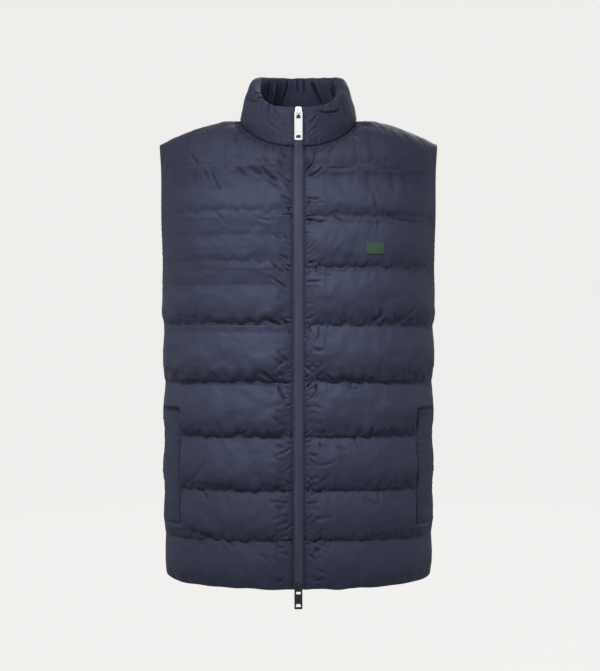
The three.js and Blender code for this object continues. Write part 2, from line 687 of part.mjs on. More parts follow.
// The slider's own frame: z runs up the zip from the pivot's height, -y is outward, y = 0 is the tape's face.
const PLATE_FACE = -LAYER_GAP - SLIDER.plate;
const PIVOT_Y = PLATE_FACE - BRIDGE.room;
function bridgeGeometry() {
  const { width, bar, innerHalf, legs, room } = BRIDGE;
  const [outerHalf, innerTop] = [innerHalf + legs, 2 * room];
  const outline = new THREE.Shape();
  const rise = innerTop + bar;
  const sink = -SLIDER.plate / 2;
  outline.moveTo(-outerHalf, sink);
  outline.lineTo(outerHalf, sink);
  outline.lineTo(outerHalf, rise - 1.2);
  outline.lineTo(outerHalf - 1.6, rise);
  outline.lineTo(1.6 - outerHalf, rise);
  outline.lineTo(-outerHalf, rise - 1.2);
  const opening = new THREE.Path();
  opening.moveTo(-innerHalf, 0.02);
  opening.lineTo(-innerHalf, innerTop);
  opening.lineTo(innerHalf, innerTop);
  opening.lineTo(innerHalf, 0.02);
  outline.holes.push(opening);
  const made = new THREE.ExtrudeGeometry(outline, { depth: width, bevelEnabled: false });
  // The outline's x becomes z, and its y becomes -y from the plate's face.
  const turn = new THREE.Matrix4().makeBasis(
    new THREE.Vector3(0, 0, 1),
    new THREE.Vector3(0, -1, 0),
    new THREE.Vector3(1, 0, 0),
  );
  return made.applyMatrix4(turn).translate(-width / 2, PLATE_FACE, 0);
}

// end is 1 where the slider closes round the zip's upper end, and -1 at its lower end; tapeEnd is that end's z.
function sliderGeometry(end, tapeEnd) {
  const { width, length, plate: thick, post, postWidth, corner } = SLIDER;
  const postStart = tapeEnd + end * SEAM_GAP;
  const postEnd = postStart + end * post;
  const middle = postEnd - (end * length) / 2;
  const outline = roundedRectangle(width, length, corner);
  const near = plate(outline, PLATE_FACE, -LAYER_GAP).translate(0, 0, middle);
  const behind = TAPE_THICKNESS + LAYER_GAP;
  const far = plate(outline, behind, behind + thick).translate(0, 0, middle);
  const depth = behind + 2 * thick;
  const block = new THREE.BoxGeometry(postWidth, depth, post);
  block.translate(0, PLATE_FACE + thick / 2 + depth / 2, (postStart + postEnd) / 2);
  const joined = [far, block, bridgeGeometry()].reduce(
    (whole, piece) => whole.add(solidOf(piece)),
    solidOf(near),
  );
  return geometryOf(joined);
}

// A pull tab that hangs from its pivot, with the bridge's window at the top and a wide hole near the end.
function pullGeometry(length) {
  const { width, thickness, head, corner, window, windowLength } = PULL;
  const height = length + head;
  const middle = (head - length) / 2;
  const outline = roundedRectangle(width, height, corner);
  const near = plate(outline, -thickness / 2, thickness / 2).translate(0, 0, middle);
  const cutter = 2 * thickness;
  const opening = new THREE.BoxGeometry(window, cutter, windowLength);
  opening.translate(0, 0, -head - windowLength / 2);
  const hole = new THREE.Shape();
  const low = -length + PULL_HOLE.above;
  hole.moveTo(-PULL_HOLE.wide / 2, low);
  hole.lineTo(PULL_HOLE.wide / 2, low);
  hole.lineTo(PULL_HOLE.narrow / 2, low + PULL_HOLE.height);
  hole.lineTo(-PULL_HOLE.narrow / 2, low + PULL_HOLE.height);
  const cut = solidOf(near)
    .subtract(solidOf(opening))
    .subtract(solidOf(plate(hole, -cutter / 2, cutter / 2)));
  return geometryOf(cut);
}

// Where a slider sits on the zip: the end of the tapes, and the turn that lays -y along the outward normal.
function zipSeat(end) {
  const at = end > 0 ? zipLine.at(-1) : zipLine[0];
  const next = end > 0 ? zipLine.at(-2) : zipLine[1];
  const up = at.point.clone().sub(next.point).multiplyScalar(end).setX(0).normalize();
  const out = new THREE.Vector3(0, -up.z, up.y);
  const face = at.point.clone().setX(0).addScaledVector(out, TAPE_DEPTH + TAPE_THICKNESS);
  return { face, up, out, lean: Math.atan2(up.y, up.z) };
}

const CLOTH = new THREE.MeshStandardMaterial({ color: 0x464a60, roughness: 0.62, metalness: 0 });
const TAPE = new THREE.MeshStandardMaterial({ color: 0x50546a, roughness: 0.5, metalness: 0 });
const PATCH_CLOTH = new THREE.MeshStandardMaterial({ color: 0x3d5a4a, roughness: 0.7, metalness: 0 });
const BRIGHT = new THREE.MeshStandardMaterial({ color: 0xd8d8dc, roughness: 0.18, metalness: 1 });
const DARK = new THREE.MeshStandardMaterial({ color: 0x2a2726, roughness: 0.22, metalness: 1 });

const vest = new THREE.Group();
function addMesh(name, geometry, material) {
  const mesh = new THREE.Mesh(geometry, material);
  mesh.name = name;
  vest.add(mesh);
  return mesh;
}

addMesh("front_left", frontPanel(1), CLOTH);
addMesh("front_right", frontPanel(-1), CLOTH);
addMesh("back", backPanel(), CLOTH);
addMesh("collar", collarGeometry(), CLOTH);
addMesh("zip_tape_left", tapeGeometry(1), TAPE);
addMesh("zip_tape_right", tapeGeometry(-1), TAPE);
addMesh("pocket_welt_left", weltGeometry(1), CLOTH);
addMesh("pocket_welt_right", weltGeometry(-1), CLOTH);
addMesh("chest_patch", patchMesh(), PATCH_CLOTH);

const SLIDERS = [
  { name: "top", end: 1, below: 5.5, length: TOP_PULL_LENGTH, pullLean: TOP_PULL_LEAN, material: BRIGHT },
  { name: "bottom", end: -1, below: -3.5, length: BOTTOM_PULL_LENGTH, pullLean: 0, material: DARK },
];
for (const { name, end, below, length, pullLean, material } of SLIDERS) {
  const seat = zipSeat(end);
  const pivotOnFace = seat.face.clone().addScaledVector(seat.up, -below);
  const slider = addMesh(`slider_${name}`, sliderGeometry(end, below), material);
  slider.position.copy(pivotOnFace);
  slider.rotation.x = -seat.lean;
  const pull = addMesh(`pull_${name}`, pullGeometry(length), material);
  pull.position.copy(pivotOnFace).addScaledVector(seat.out, -PIVOT_Y);
  pull.rotation.x = -(end > 0 ? seat.lean : 0) + rad(pullLean);
}

export default vest;
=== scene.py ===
"""The looks of a padded, channel-quilted vest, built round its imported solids. The front is at -Y."""

import bpy
import math
import numpy as np
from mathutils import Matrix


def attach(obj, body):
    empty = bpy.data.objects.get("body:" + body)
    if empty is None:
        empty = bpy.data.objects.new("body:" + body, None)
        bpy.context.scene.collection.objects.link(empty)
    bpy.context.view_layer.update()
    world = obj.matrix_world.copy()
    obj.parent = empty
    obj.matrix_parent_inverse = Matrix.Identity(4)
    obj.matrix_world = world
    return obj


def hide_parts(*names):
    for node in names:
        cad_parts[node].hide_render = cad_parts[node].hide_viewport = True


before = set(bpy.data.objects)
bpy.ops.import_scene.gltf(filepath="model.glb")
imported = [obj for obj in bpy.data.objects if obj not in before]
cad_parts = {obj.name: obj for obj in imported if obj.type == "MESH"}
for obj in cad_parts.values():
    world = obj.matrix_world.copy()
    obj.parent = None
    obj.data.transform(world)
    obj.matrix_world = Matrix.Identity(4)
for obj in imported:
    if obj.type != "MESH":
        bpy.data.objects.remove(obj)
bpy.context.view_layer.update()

# Camera: level and straight in front of the zip.
IMAGE_HEIGHT = 671
DISTANCE = 2.2
METRES_PER_PIXEL = 0.0015
SENSOR = 36.0
camera_data = bpy.data.cameras.new("camera")
camera_data.sensor_width = SENSOR
camera_data.lens = SENSOR * DISTANCE / (IMAGE_HEIGHT * METRES_PER_PIXEL)
camera = bpy.data.objects.new("camera", camera_data)
bpy.context.scene.collection.objects.link(camera)
camera.location = (0.00225, -DISTANCE, -0.32175)
camera.rotation_euler = (math.pi / 2, 0, 0)
bpy.context.scene.camera = camera
bpy.context.scene.view_settings.view_transform = "Standard"

# Shapes are worked out in millimetres and turned into metres where a mesh is made.
MM = 0.001

# The garment's surface: the same sections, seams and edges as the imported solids.
LINES = np.array([-80, -156, -227, -308, -389, -467, -543, -614], float)
LOFTS = np.array([7, 8, 9.5, 12, 12, 11, 10, 9], float)
FIRST_LINE, LAST = LINES[0], len(LINES) - 1
HEM, HEM_RISE = -682.0, 8.0
YOKE_LOFT = 6.5
# The body's level sections: height, half width, depth in front and behind, and squareness.
SECTIONS = np.array(
    [
        [-690, 193, 117, 112, 2.4],
        [-614, 195, 117, 110, 2.4],
        [-543, 196, 116, 106, 2.45],
        [-400, 195.5, 116, 102, 2.5],
        [-308, 197, 119, 107, 2.6],
        [-230, 201, 121, 114, 2.8],
        [-160, 205, 118, 116, 3],
        [-80, 207, 103, 106, 3],
    ],
    float,
)
# The shoulder seam's height by place across, and the collar top's height by degrees from the front.
SHOULDER = np.array([[86, -3], [140, -16.5], [180, -29], [206, -40]], float)
COLLAR_TOP = np.array(
    [[0, 10], [20, 11], [40, 17], [55, 27], [70, 41], [90, 58], [110, 68], [140, 73], [180, 74]], float
)
NECK_HALF, NECK_FRONT, NECK_BACK, NECK_DROP = 86.0, 82.0, 70.0, 51.0
COLLAR_HALF, COLLAR_FRONT, COLLAR_BACK = 66.0, 70.0, 58.0
ARMHOLE_FOOT, ARMHOLE_WIDEST, ARMHOLE_HALF, ARMHOLE_TAPER = -267.5, -170.0, 56.0, 6.0
SEAM, GAP, ZIP_HALF = 3.0, 0.3, 6.8
FIRST_ANGLE = math.asin(ZIP_HALF / NECK_HALF)


def hermite(table, column, x):
    """A smooth curve through one column of a table, at x in its first column."""
    k, f = table[:, 0], table[:, column]
    low, high = np.maximum(np.arange(len(k)) - 1, 0), np.minimum(np.arange(len(k)) + 1, len(k) - 1)
    slope = (f[high] - f[low]) / (k[high] - k[low])
    x = np.asarray(x, float)
    i = np.clip(np.searchsorted(k, x) - 1, 0, len(k) - 2)
    span = k[i + 1] - k[i]
    t = np.clip((x - k[i]) / span, 0, 1)
    return (
        (2 * t**3 - 3 * t**2 + 1) * f[i]
        + (t**3 - 2 * t**2 + t) * span * slope[i]
        + (3 * t**2 - 2 * t**3) * f[i + 1]
        + (t**3 - t**2) * span * slope[i + 1]
    )


def smooth(low, high, x):
    t = np.clip((np.asarray(x, float) - low) / (high - low), 0, 1)
    return t * t * (3 - 2 * t)


def unit(v):
    return v / np.maximum(np.linalg.norm(v, axis=-1, keepdims=True), 1e-9)


def lengths_along(points):
    """How far along a line of points each of them lies from the first."""
    return np.concatenate([[0], np.cumsum(np.linalg.norm(np.diff(points, axis=0), axis=1))])


def foot_of(channel):
    """The height of a channel's lower end."""
    return LINES[channel + 1] if channel < LAST else HEM


def armhole_half(z):
    """Half the armhole's depth from front to back at a height."""
    above = z - ARMHOLE_WIDEST
    if z <= ARMHOLE_FOOT:
        return 0.0
    if above < 0:
        return ARMHOLE_HALF * math.sqrt(max(0.0, 1 - (above / (ARMHOLE_WIDEST - ARMHOLE_FOOT)) ** 2))
    return ARMHOLE_HALF - ARMHOLE_TAPER * (above / (FIRST_LINE - ARMHOLE_WIDEST)) ** 2


def torso_row(z, face, shares):
    """Points of the inner surface at one height, by their share of the way from the middle to the side."""
    half = hermite(SECTIONS, 1, z)
    depth = hermite(SECTIONS, 2 if face < 0 else 3, z)
    power = 2 / hermite(SECTIONS, 4, z)
    angle = np.linspace(0, math.pi / 2, 129)
    x = half * np.sin(angle) ** power
    y = face * depth * np.cos(angle).clip(0) ** power
    y[-1] = 0
    along = np.concatenate([[0], np.cumsum(np.hypot(np.diff(x), np.diff(y)))])
    start = np.interp(ZIP_HALF, x, along) if face < 0 else 0
    opening = armhole_half(z)
    end = np.interp(-opening, -np.abs(y), along) if opening > 0 else along[-1]
    at = start + (end - start) * shares
    px, py = np.interp(at, along, x), np.interp(at, along, y)
    if opening == 0:
        py = np.where(shares == 1, face * GAP / 2, py)
    return np.stack([px, py, np.full_like(px, z)], 1)


def neckline(angle):
    forward = np.cos(angle)
    depth = np.where(forward > 0, NECK_FRONT, NECK_BACK)
    z = np.where(forward > 0, -NECK_DROP * np.abs(forward) ** 1.25, -4 * forward)
    return np.stack([NECK_HALF * np.sin(angle), -depth * forward, z - 3 * np.abs(np.sin(angle))], -1)


def upper_edge(face, shares):
    """The neckline and shoulder seam, and the way the panel leaves them."""
    crest, fan = (0.2 if face < 0 else 0.0), 0.55
    out = np.clip((shares - 0.5) / 0.5, 0, 1)
    x = 86 + 120 * out
    seam = np.stack([x, np.full_like(x, face * GAP / 2), hermite(SHOULDER, 1, x)], 1)
    left = 1 - out
    seam_fall = np.stack([fan * left**2, np.full_like(x, face), -crest * left], 1)
    quarter = (FIRST_ANGLE if face < 0 else 0) * (1 - shares * 2) + math.pi * shares
    angle = quarter if face < 0 else math.pi - quarter
    steep = (0.9 if face < 0 else 0.55) * np.cos(quarter) + crest * np.sin(quarter)
    neck_fall = np.stack([fan * np.sin(quarter) ** 2, np.full_like(x, face), -steep], 1)
    on_seam = (shares >= 0.5)[:, None]
    return np.where(on_seam, seam, neckline(angle)), unit(np.where(on_seam, seam_fall, neck_fall))


def yoke_row(face, shares, rise):
    foot, below = torso_row(FIRST_LINE, face, shares), torso_row(FIRST_LINE - 8, face, shares)
    top, fall = upper_edge(face, shares)
    reach = 0.4 * np.linalg.norm(top - foot, axis=1, keepdims=True)
    a, b = foot + unit(foot - below) * reach, top + fall * reach
    left = 1 - rise
    return left**3 * foot + 3 * left**2 * rise * a + 3 * left * rise**2 * b + rise**3 * top


def grid_normals(grid):
    """Unit normals of a grid of points, all to one side."""
    rows, columns = np.arange(len(grid)), np.arange(grid.shape[1])
    up = grid[np.minimum(rows + 1, rows[-1])] - grid[np.maximum(rows - 1, 0)]
    across = grid[:, np.minimum(columns + 1, columns[-1])] - grid[:, np.maximum(columns - 1, 0)]
    return unit(np.cross(across, up))


# Each quilting seam is a flat band, BAND to each side of its line, with the channels standing up from it.
BAND = 2.2


def level_of(channel, place):
    """A row's place up the garment: 0 at the hem, 8 on the first line and 9 on the upper edge."""
    return LAST + 1 + place if channel < 0 else LAST + 1 - channel - place


def make_rows(step, band_rows, yoke_rows):
    """Rows from the hem up: the channel, or -1 on the yoke, and the place in it."""
    rows = []
    for channel in range(LAST, -1, -1):
        height = LINES[channel] - foot_of(channel)
        low = 0.0 if channel == LAST else BAND
        inside = np.linspace(low, height - BAND, max(2, round(height / step)) + 1)
        band = [height - BAND + BAND * (k + 1) / band_rows for k in range(band_rows - 1)]
        under = [] if channel == LAST else [BAND * k / band_rows for k in range(band_rows)]
        for up in [*under, *inside, *band]:
            rows.append((channel, 1 - up / height))
    for k in range(yoke_rows + 1):
        rows.append((-1, k / yoke_rows))
    return rows


class Body:
    """A half-panel on the +X side: a grid of rows from the hem up and columns from the middle out."""

    def __init__(self, face, rows, shares):
        self.face, self.rows, self.shares = face, rows, shares
        self.levels = np.array([level_of(*row) for row in rows])
        self.base = np.array([self.row_points(*row) for row in rows])
        self.normal = self.find_normals()
        across = np.linalg.norm(np.diff(self.base, axis=1), axis=2)
        self.along = np.concatenate([np.zeros((len(rows), 1)), np.cumsum(across, 1)], 1)
        upward = np.linalg.norm(np.diff(self.base, axis=0), axis=2)
        start = self.base[0, :, 2]
        self.up = start + np.concatenate([np.zeros((1, len(shares))), np.cumsum(upward, 0)], 0)
        first = int(np.argmin(np.abs(self.levels - (LAST + 1))))
        self.up += FIRST_LINE - self.up[first]
        self.fade = self.find_fade()

    def row_points(self, channel, place):
        if channel < 0:
            return yoke_row(self.face, self.shares, place)
        top = LINES[channel]
        if channel < LAST:
            return torso_row(top + (foot_of(channel) - top) * place, self.face, self.shares)
        heights = top + (HEM + HEM_RISE * self.shares**2 - top) * place
        return np.array([torso_row(z, self.face, self.shares[i : i + 1])[0] for i, z in enumerate(heights)])

    def find_normals(self):
        grid = self.base
        normal = grid_normals(grid)
        outward = grid.copy()
        outward[..., 2] = np.maximum(grid[..., 2] - FIRST_LINE, 0)
        normal[(normal * outward).sum(2) < 0] *= -1
        normal[:, 0, 0] = 0
        closed = np.array([armhole_half(z) == 0 for z in grid[:, -1, 2]])
        normal[closed, -1, 1] = 0
        neck = int(np.searchsorted(self.shares, 0.5))
        for c in range(neck, len(self.shares)):
            seam = grid[-1, min(c + 1, len(self.shares) - 1)] - grid[-1, max(c - 1, neck)]
            normal[-1, c] = (-seam[2], 0, seam[0])
        return unit(normal)

    def find_fade(self):
        """0 on the sewn edges of the panel and 1 well inside it."""
        edge, neck = self.base[::3, -1], neckline(np.linspace(0, math.pi, 60))
        fade = np.ones(self.base.shape[:2])
        for r, line in enumerate(self.base):
            gap = np.linalg.norm(line[:, None] - edge[None], axis=2).min(1)
            fade[r] = 0.1 + 0.9 * smooth(0, 85, gap)
            if self.levels[r] > LAST + 1:
                gap = np.linalg.norm(line[:, None] - neck[None], axis=2).min(1)
                fade[r] *= smooth(2, 30, gap)
        if self.face < 0:
            fade *= smooth(-8, 30, self.base[..., 0] - ZIP_HALF)
        return fade


def noise(u, v, size, seed, waves=14):
    """A smooth, repeatable unevenness of about that size, between about -1 and 1."""
    rng = np.random.default_rng(seed)
    total = np.zeros(np.broadcast(u, v).shape)
    for _ in range(waves):
        turn, phase = rng.uniform(0, math.tau, 2)
        pitch = size * rng.uniform(0.7, 1.6)
        total += np.sin((u * math.cos(turn) + v * math.sin(turn)) * math.tau / pitch + phase)
    return total / math.sqrt(waves) * 0.9


# How flat each quilting line lies, from the top down: 0 is pulled right in and 1 hardly shows.
SLACK = {
    "front_right": [0.75, 0.9, 0.84, 0.28, 0.1, 0.03, 0, 0],
    "front_left": [0.5, 0.35, 0.2, 0.05, 0, 0, 0, 0],
    "back": [0.15, 0.15, 0.08, 0, 0, 0, 0, 0],
}
# How far down its channel the padding is fullest, by panel: 1 is halfway.
SAG = {"front_right": 1.42, "front_left": 1.15, "back": 1.25}
FULLNESS = {"front_right": 0.74, "front_left": 0.8, "back": 0.72}
# How far the fronts fall back just under the highest quilting line, where the padding has sunk.
HOLLOW = {"front_right": 1.6, "front_left": 3.0}


def seam_half(name, line):
    """Half the flat width that shows along a quilting line: less shows where it is pulled in deeper."""
    return 0.4 + (BAND - 0.4) * float(smooth(0.1, 0.4, SLACK[name][line]))


# The pocket welts lie on the fronts between these shares and heights.
WELT_SHARES, WELT_HEIGHTS = (0.68, 0.845), (-592.7, -428.0)
LOFT_UNDER_WELT = 2.5


def under_welt(body, margin):
    """1 under the welt, falling to 0 over a margin in millimetres round it."""
    span = body.along[:, -1:]
    low, high = WELT_SHARES[0] * span, WELT_SHARES[1] * span
    side = smooth(-margin, 0, body.along - low) * (1 - smooth(0, margin, body.along - high))
    z = body.base[..., 2]
    reach = 0.6 * margin
    return side * smooth(-reach, 0, z - WELT_HEIGHTS[0]) * (1 - smooth(0, reach, z - WELT_HEIGHTS[1]))


def puffed(body, name, seed):
    """The height of the padding over the seams, in a grid of the body's shape."""
    loft = np.zeros(body.base.shape[:2])
    u, v = body.along, body.up
    uneven = 1 + 0.1 * noise(u, v, 90, seed) + 0.05 * noise(u, v, 34, seed + 1)
    scallop = noise(u, v * 0.4, 17, seed + 2)
    slack = SLACK[name]
    for r, (channel, place) in enumerate(body.rows):
        if channel < 0:
            rise = math.sin(math.pi * place) ** 0.6 if 0 < place < 1 else 0
            kept = slack[0] * LOFTS[0] * 0.7 * (1 - place) ** 1.5
            loft[r] = np.maximum(YOKE_LOFT * rise * smooth(0, 0.06, place), kept)
            continue
        height = LINES[channel] - foot_of(channel)
        first, last = seam_half(name, channel), 0.0 if channel == LAST else seam_half(name, channel + 1)
        t = np.clip((place * height - first) / (height - first - last), 0, 1)
        t = np.clip(t + 0.035 * scallop[r] * smooth(0.5, 0.9, t) * (1 - smooth(0.97, 1, t)), 0, 1)
        sag = SAG[name] + (0.6 if channel == 0 and name != "back" else 0)
        puff = LOFTS[channel] * np.clip(np.sin(math.pi * t**sag), 0, 1) ** FULLNESS[name]
        above, below = slack[channel], slack[channel + 1] if channel < LAST else 0
        kept = above * (0.7 + 0.25 * above) * (1 - place) ** 1.2 + below * (0.7 + 0.25 * below) * place**1.2
        kept *= LOFTS[channel]
        loft[r] = np.maximum(puff, kept) * 0.75 + np.maximum(puff, kept * 1.3) * 0.25
    loft *= body.fade * uneven
    if name != "back":
        weight = under_welt(body, 9)
        loft = loft * (1 - weight) + LOFT_UNDER_WELT * weight
        below = FIRST_LINE - v
        hollow = smooth(0, 16, below) * (1 - smooth(24, 56, below)) * HOLLOW[name]
        loft = loft - hollow * body.fade * (1 + 0.4 * noise(u, v * 0.3, 50, seed + 9))
        loft = np.maximum(loft, -1.2)
    loft[:, -1] = 0
    loft[-1] = 0
    return loft


def drooped(body, loft):
    """Lets the fullest part of each channel hang down a little over the seam below it."""
    share = np.clip(loft / 12, 0, 1)
    drop = np.zeros_like(loft)
    for r, (channel, place) in enumerate(body.rows):
        if channel >= 0:
            drop[r] = 2.6 * share[r] ** 1.3 * smooth(0.2, 0.8, place)
    return drop


# Blown-up cloth: each panel's outer cloth is pinned along its seams, given a little too much length
# and blown out by pressure, and the way it wrinkles is kept.
SIM_FRAMES = 12
SIM_PRESSURE = 1.2
SIM_EXCESS = 0.035
# Wrinkles much taller than this, in millimetres, are flattened, and this share of their height is kept.
WRINKLE_HEIGHT, WRINKLE_SHARE = 3.0, 0.6


def grid_faces(rows, columns):
    i = np.arange((rows - 1) * columns).reshape(rows - 1, columns)[:, :-1].ravel()
    return np.stack([i, i + 1, i + columns + 1, i + columns], 1)


def tube_faces(rows, columns):
    """The faces of a grid whose last column joins its first."""
    r = np.arange(rows - 1) * columns
    seam = np.stack([r + columns - 1, r, r + columns, r + 2 * columns - 1], 1)
    return np.concatenate([grid_faces(rows, columns), seam]).tolist()


def new_object(name, points, faces):
    mesh = bpy.data.meshes.new(name)
    mesh.from_pydata((np.asarray(points).reshape(-1, 3) * MM).tolist(), [], faces)
    mesh.update()
    made = bpy.data.objects.new(name, mesh)
    bpy.context.scene.collection.objects.link(made)
    return made


def sewn_points(body):
    """1 where a half-panel is sewn down, along its edges and its quilting lines, and 0 elsewhere."""
    mask = np.zeros(body.base.shape[:2])
    mask[[0, -1]] = 1
    mask[:, [0, -1]] = 1
    for r, (channel, place) in enumerate(body.rows):
        if channel < 0:
            sewn = place == 0
        else:
            sewn = min(place, 1 - place) * (LINES[channel] - foot_of(channel)) <= BAND + 0.01
        if sewn:
            mask[r] = 1
    return mask


def start_cloth(name, points, mask):
    made = new_object(name, points, grid_faces(*points.shape[:2]).tolist())
    group = made.vertex_groups.new(name="sewn")
    group.add(np.nonzero(mask.ravel())[0].tolist(), 1.0, "REPLACE")
    cloth = made.modifiers.new("cloth", "CLOTH")
    settings = cloth.settings
    settings.quality = 5
    settings.mass = 0.05
    settings.tension_stiffness = settings.compression_stiffness = 15
    settings.shear_stiffness = 8
    settings.bending_stiffness = 0.05
    settings.air_damping = 4
    settings.use_pressure = True
    settings.uniform_pressure_force = SIM_PRESSURE
    settings.shrink_min = settings.shrink_max = -SIM_EXCESS
    settings.effector_weights.gravity = 0.3
    settings.vertex_group_mass = "sewn"
    settings.pin_stiffness = 50
    cloth.collision_settings.use_collision = False
    cloth.point_cache.frame_start = 1
    cloth.point_cache.frame_end = SIM_FRAMES
    return made


def blurred(field, reach):
    """The field smoothed along both of its first two axes."""
    steps = np.arange(-3 * reach, 3 * reach + 1)
    weights = np.exp(-0.5 * (steps / reach) ** 2)
    weights /= weights.sum()
    for axis in (0, 1):
        padding = [(0, 0)] * field.ndim
        padding[axis] = (3 * reach, 3 * reach)
        padded = np.pad(field, padding, mode="edge")
        count = field.shape[axis]
        field = sum(w * np.take(padded, np.arange(i, i + count), axis) for i, w in enumerate(weights))
    return field


def wrinkles_of(made, start):
    """What the blown-up cloth did beyond its overall swelling, in millimetres."""
    graph = bpy.context.evaluated_depsgraph_get()
    mesh = made.evaluated_get(graph).data
    flat = np.zeros(len(mesh.vertices) * 3)
    mesh.vertices.foreach_get("co", flat)
    moved = flat.reshape(start.shape) / MM - start
    detail = moved - blurred(moved, 2)
    size = np.linalg.norm(detail, axis=2, keepdims=True)
    return detail / (1 + size / WRINKLE_HEIGHT)


def resampled(field, levels, shares, new_levels, new_shares):
    """A coarse grid's field at the places of a finer grid."""
    i = np.clip(np.searchsorted(levels, new_levels) - 1, 0, len(levels) - 2)
    t = np.clip((new_levels - levels[i]) / (levels[i + 1] - levels[i]), 0, 1)
    rows = field[i] * (1 - t)[:, None, None] + field[i + 1] * t[:, None, None]
    j = np.clip(np.searchsorted(shares, new_shares) - 1, 0, len(shares) - 2)
    s = np.clip((new_shares - shares[j]) / (shares[j + 1] - shares[j]), 0, 1)
    return rows[:, j] * (1 - s)[None, :, None] + rows[:, j + 1] * s[None, :, None]


# Creases: each is a soft groove between two raised lips, along a slightly bent line on the cloth.
def crease(field, u, v, start, end, depth, width, bend=0.0, taper=(0.08, 0.5)):
    (u0, v0), (u1, v1) = start, end
    length = math.hypot(u1 - u0, v1 - v0)
    reach = 3.4 * width + abs(bend)
    middle_u, middle_v = (u0 + u1) / 2, (v0 + v1) / 2
    guess = np.abs(v[:, u.shape[1] // 3] - middle_v).argmin()
    column = min(int(np.searchsorted(u[guess], middle_u)), u.shape[1] - 1)
    rows = np.nonzero((v[:, column] > min(v0, v1) - reach) & (v[:, column] < max(v0, v1) + reach))[0]
    if len(rows) == 0:
        return
    line = u[rows[len(rows) // 2]]
    columns = np.nonzero((line > min(u0, u1) - reach) & (line < max(u0, u1) + reach))[0]
    if len(columns) == 0:
        return
    window = np.s_[rows[0] : rows[-1] + 1, columns[0] : columns[-1] + 1]
    du, dv = u[window] - u0, v[window] - v0
    t = (du * (u1 - u0) + dv * (v1 - v0)) / length**2
    off = (du * (v1 - v0) - dv * (u1 - u0)) / length - bend * 4 * t * (1 - t)
    ends = smooth(-0.02, taper[0], t) * (1 - smooth(1 - taper[1], 1.02, t))
    lips = np.exp(-(((np.abs(off) - 2.1 * width) / (1.2 * width)) ** 2)) * (0.34 + 0.14 * np.sign(off))
    field[window] += depth * ends * (lips - np.exp(-((off / width) ** 2)))


def drawn_crease(field, u, v, rng, start, end, depth, width, bend=0, taper=(0.08, 0.5)):
    """A crease with its depth and half width drawn from between two values, and its bend from a spread."""
    drawn = rng.uniform(*depth), rng.uniform(*width), rng.normal(0, bend) if bend else 0
    crease(field, u, v, start, end, *drawn, taper)


# How strongly each quilting line gathers the cloth, from the top down.
GATHER = {
    "front_right": [0.5, 0.3, 0.35, 0.9, 0.95, 1, 1.05, 1],
    "front_left": [0.5, 1, 0.95, 1.05, 1.1, 1.1, 1.15, 1.15],
    "back": [0.5, 0.5, 0.6, 0.7, 0.7, 0.75, 0.8, 0.8],
}


def gather_lines(field, body, name, rng):
    """Short upright tucks on both sides of every quilting seam."""
    u, v = body.along, body.up
    for index, (line, strength) in enumerate(zip(LINES, GATHER[name])):
        at = 4.0
        row = int(np.abs(body.base[:, 0, 2] - line).argmin())
        end = body.along[row, -1]
        while at < end - 3:
            for side in (1, -1):
                if rng.random() < 0.72:
                    length = rng.uniform(5, 12) * (1.5 if rng.random() < 0.16 else 1)
                    length *= 1 if side > 0 else 0.85
                    lean = rng.normal(0, 0.45)
                    foot = line + side * seam_half(name, index)
                    far = (at + lean * length, foot + side * length)
                    depth = np.array([0.35, 1.35]) * strength * (1 if side > 0 else 0.7)
                    drawn_crease(field, u, v, rng, (at, foot), far, depth, (1.1, 2.1), 0.8)
            at += rng.uniform(3.5, 10.5) / (0.55 + 0.45 * strength)
        # A groove each side of the flat band, where the cloth turns up into the channels.
        for side in (1, -1):
            off = (v - line - side * seam_half(name, index)) / 0.9
            groove = np.exp(-(off**2)) * (body.levels < LAST + 1.5)[:, None]
            field -= 0.28 * (1 - SLACK[name][index]) * groove


def gather_zip(field, body, rng):
    """Small puckers along the seam beside the zip, steeper and closer together near each quilting line."""
    u, v = body.along, body.up
    at = HEM + 6
    top = v[-1, 0] - 2
    while at < top:
        nearest = LINES[np.abs(LINES - at).argmin()]
        off = at - nearest
        close = math.exp(-((off / 18) ** 2))
        length = rng.uniform(4, 13) * (1.7 if rng.random() < 0.22 else 1)
        lean = rng.normal(0.35 + 0.5 * close, 0.45)
        depth = np.array([0.3, 1.3]) * (0.7 + 0.6 * close)
        near, far = (2.6, at), (2.6 + length, at + lean * length)
        drawn_crease(field, u, v, rng, near, far, depth, (0.9, 1.4), 0.8, (0.05, 0.5))
        at += rng.uniform(2.6, 7.5) * (1.3 - 0.6 * close)
    # Broader soft folds further out, over the lower channels.
    at = HEM + 10
    while at < -330:
        start = rng.uniform(5, 16)
        length = rng.uniform(12, 34)
        lean = rng.normal(0.15, 0.5)
        near, far = (start, at), (start + length, at + lean * length)
        drawn_crease(field, u, v, rng, near, far, (0.6, 1.4), (1.8, 3.0), 2, (0.3, 0.5))
        at += rng.uniform(8, 17)


def gather_edge(field, body, rng):
    """Puckers along the armhole and down the side seam."""
    u, v = body.along, body.up
    edge_up, edge_along = v[:, -1], u[:, -1]
    at = -300.0
    while at < edge_up[-1] - 4:
        end = float(np.interp(at, edge_up, edge_along))
        length = rng.uniform(6, 18)
        rise = rng.normal(0.1, 0.35)
        near, far = (end - 0.5, at), (end - length, at + rise * length)
        drawn_crease(field, u, v, rng, near, far, (0.2, 0.7), (1.2, 2), 1)
        at += rng.uniform(5, 11)
    at = HEM + 12
    while at < -300:
        end = float(np.interp(at, edge_up, edge_along))
        length = rng.uniform(5, 14)
        near, far = (end - 0.5, at), (end - length, at + rng.normal(0, 4))
        drawn_crease(field, u, v, rng, near, far, (0.15, 0.5), (1.2, 2))
        at += rng.uniform(7, 14)


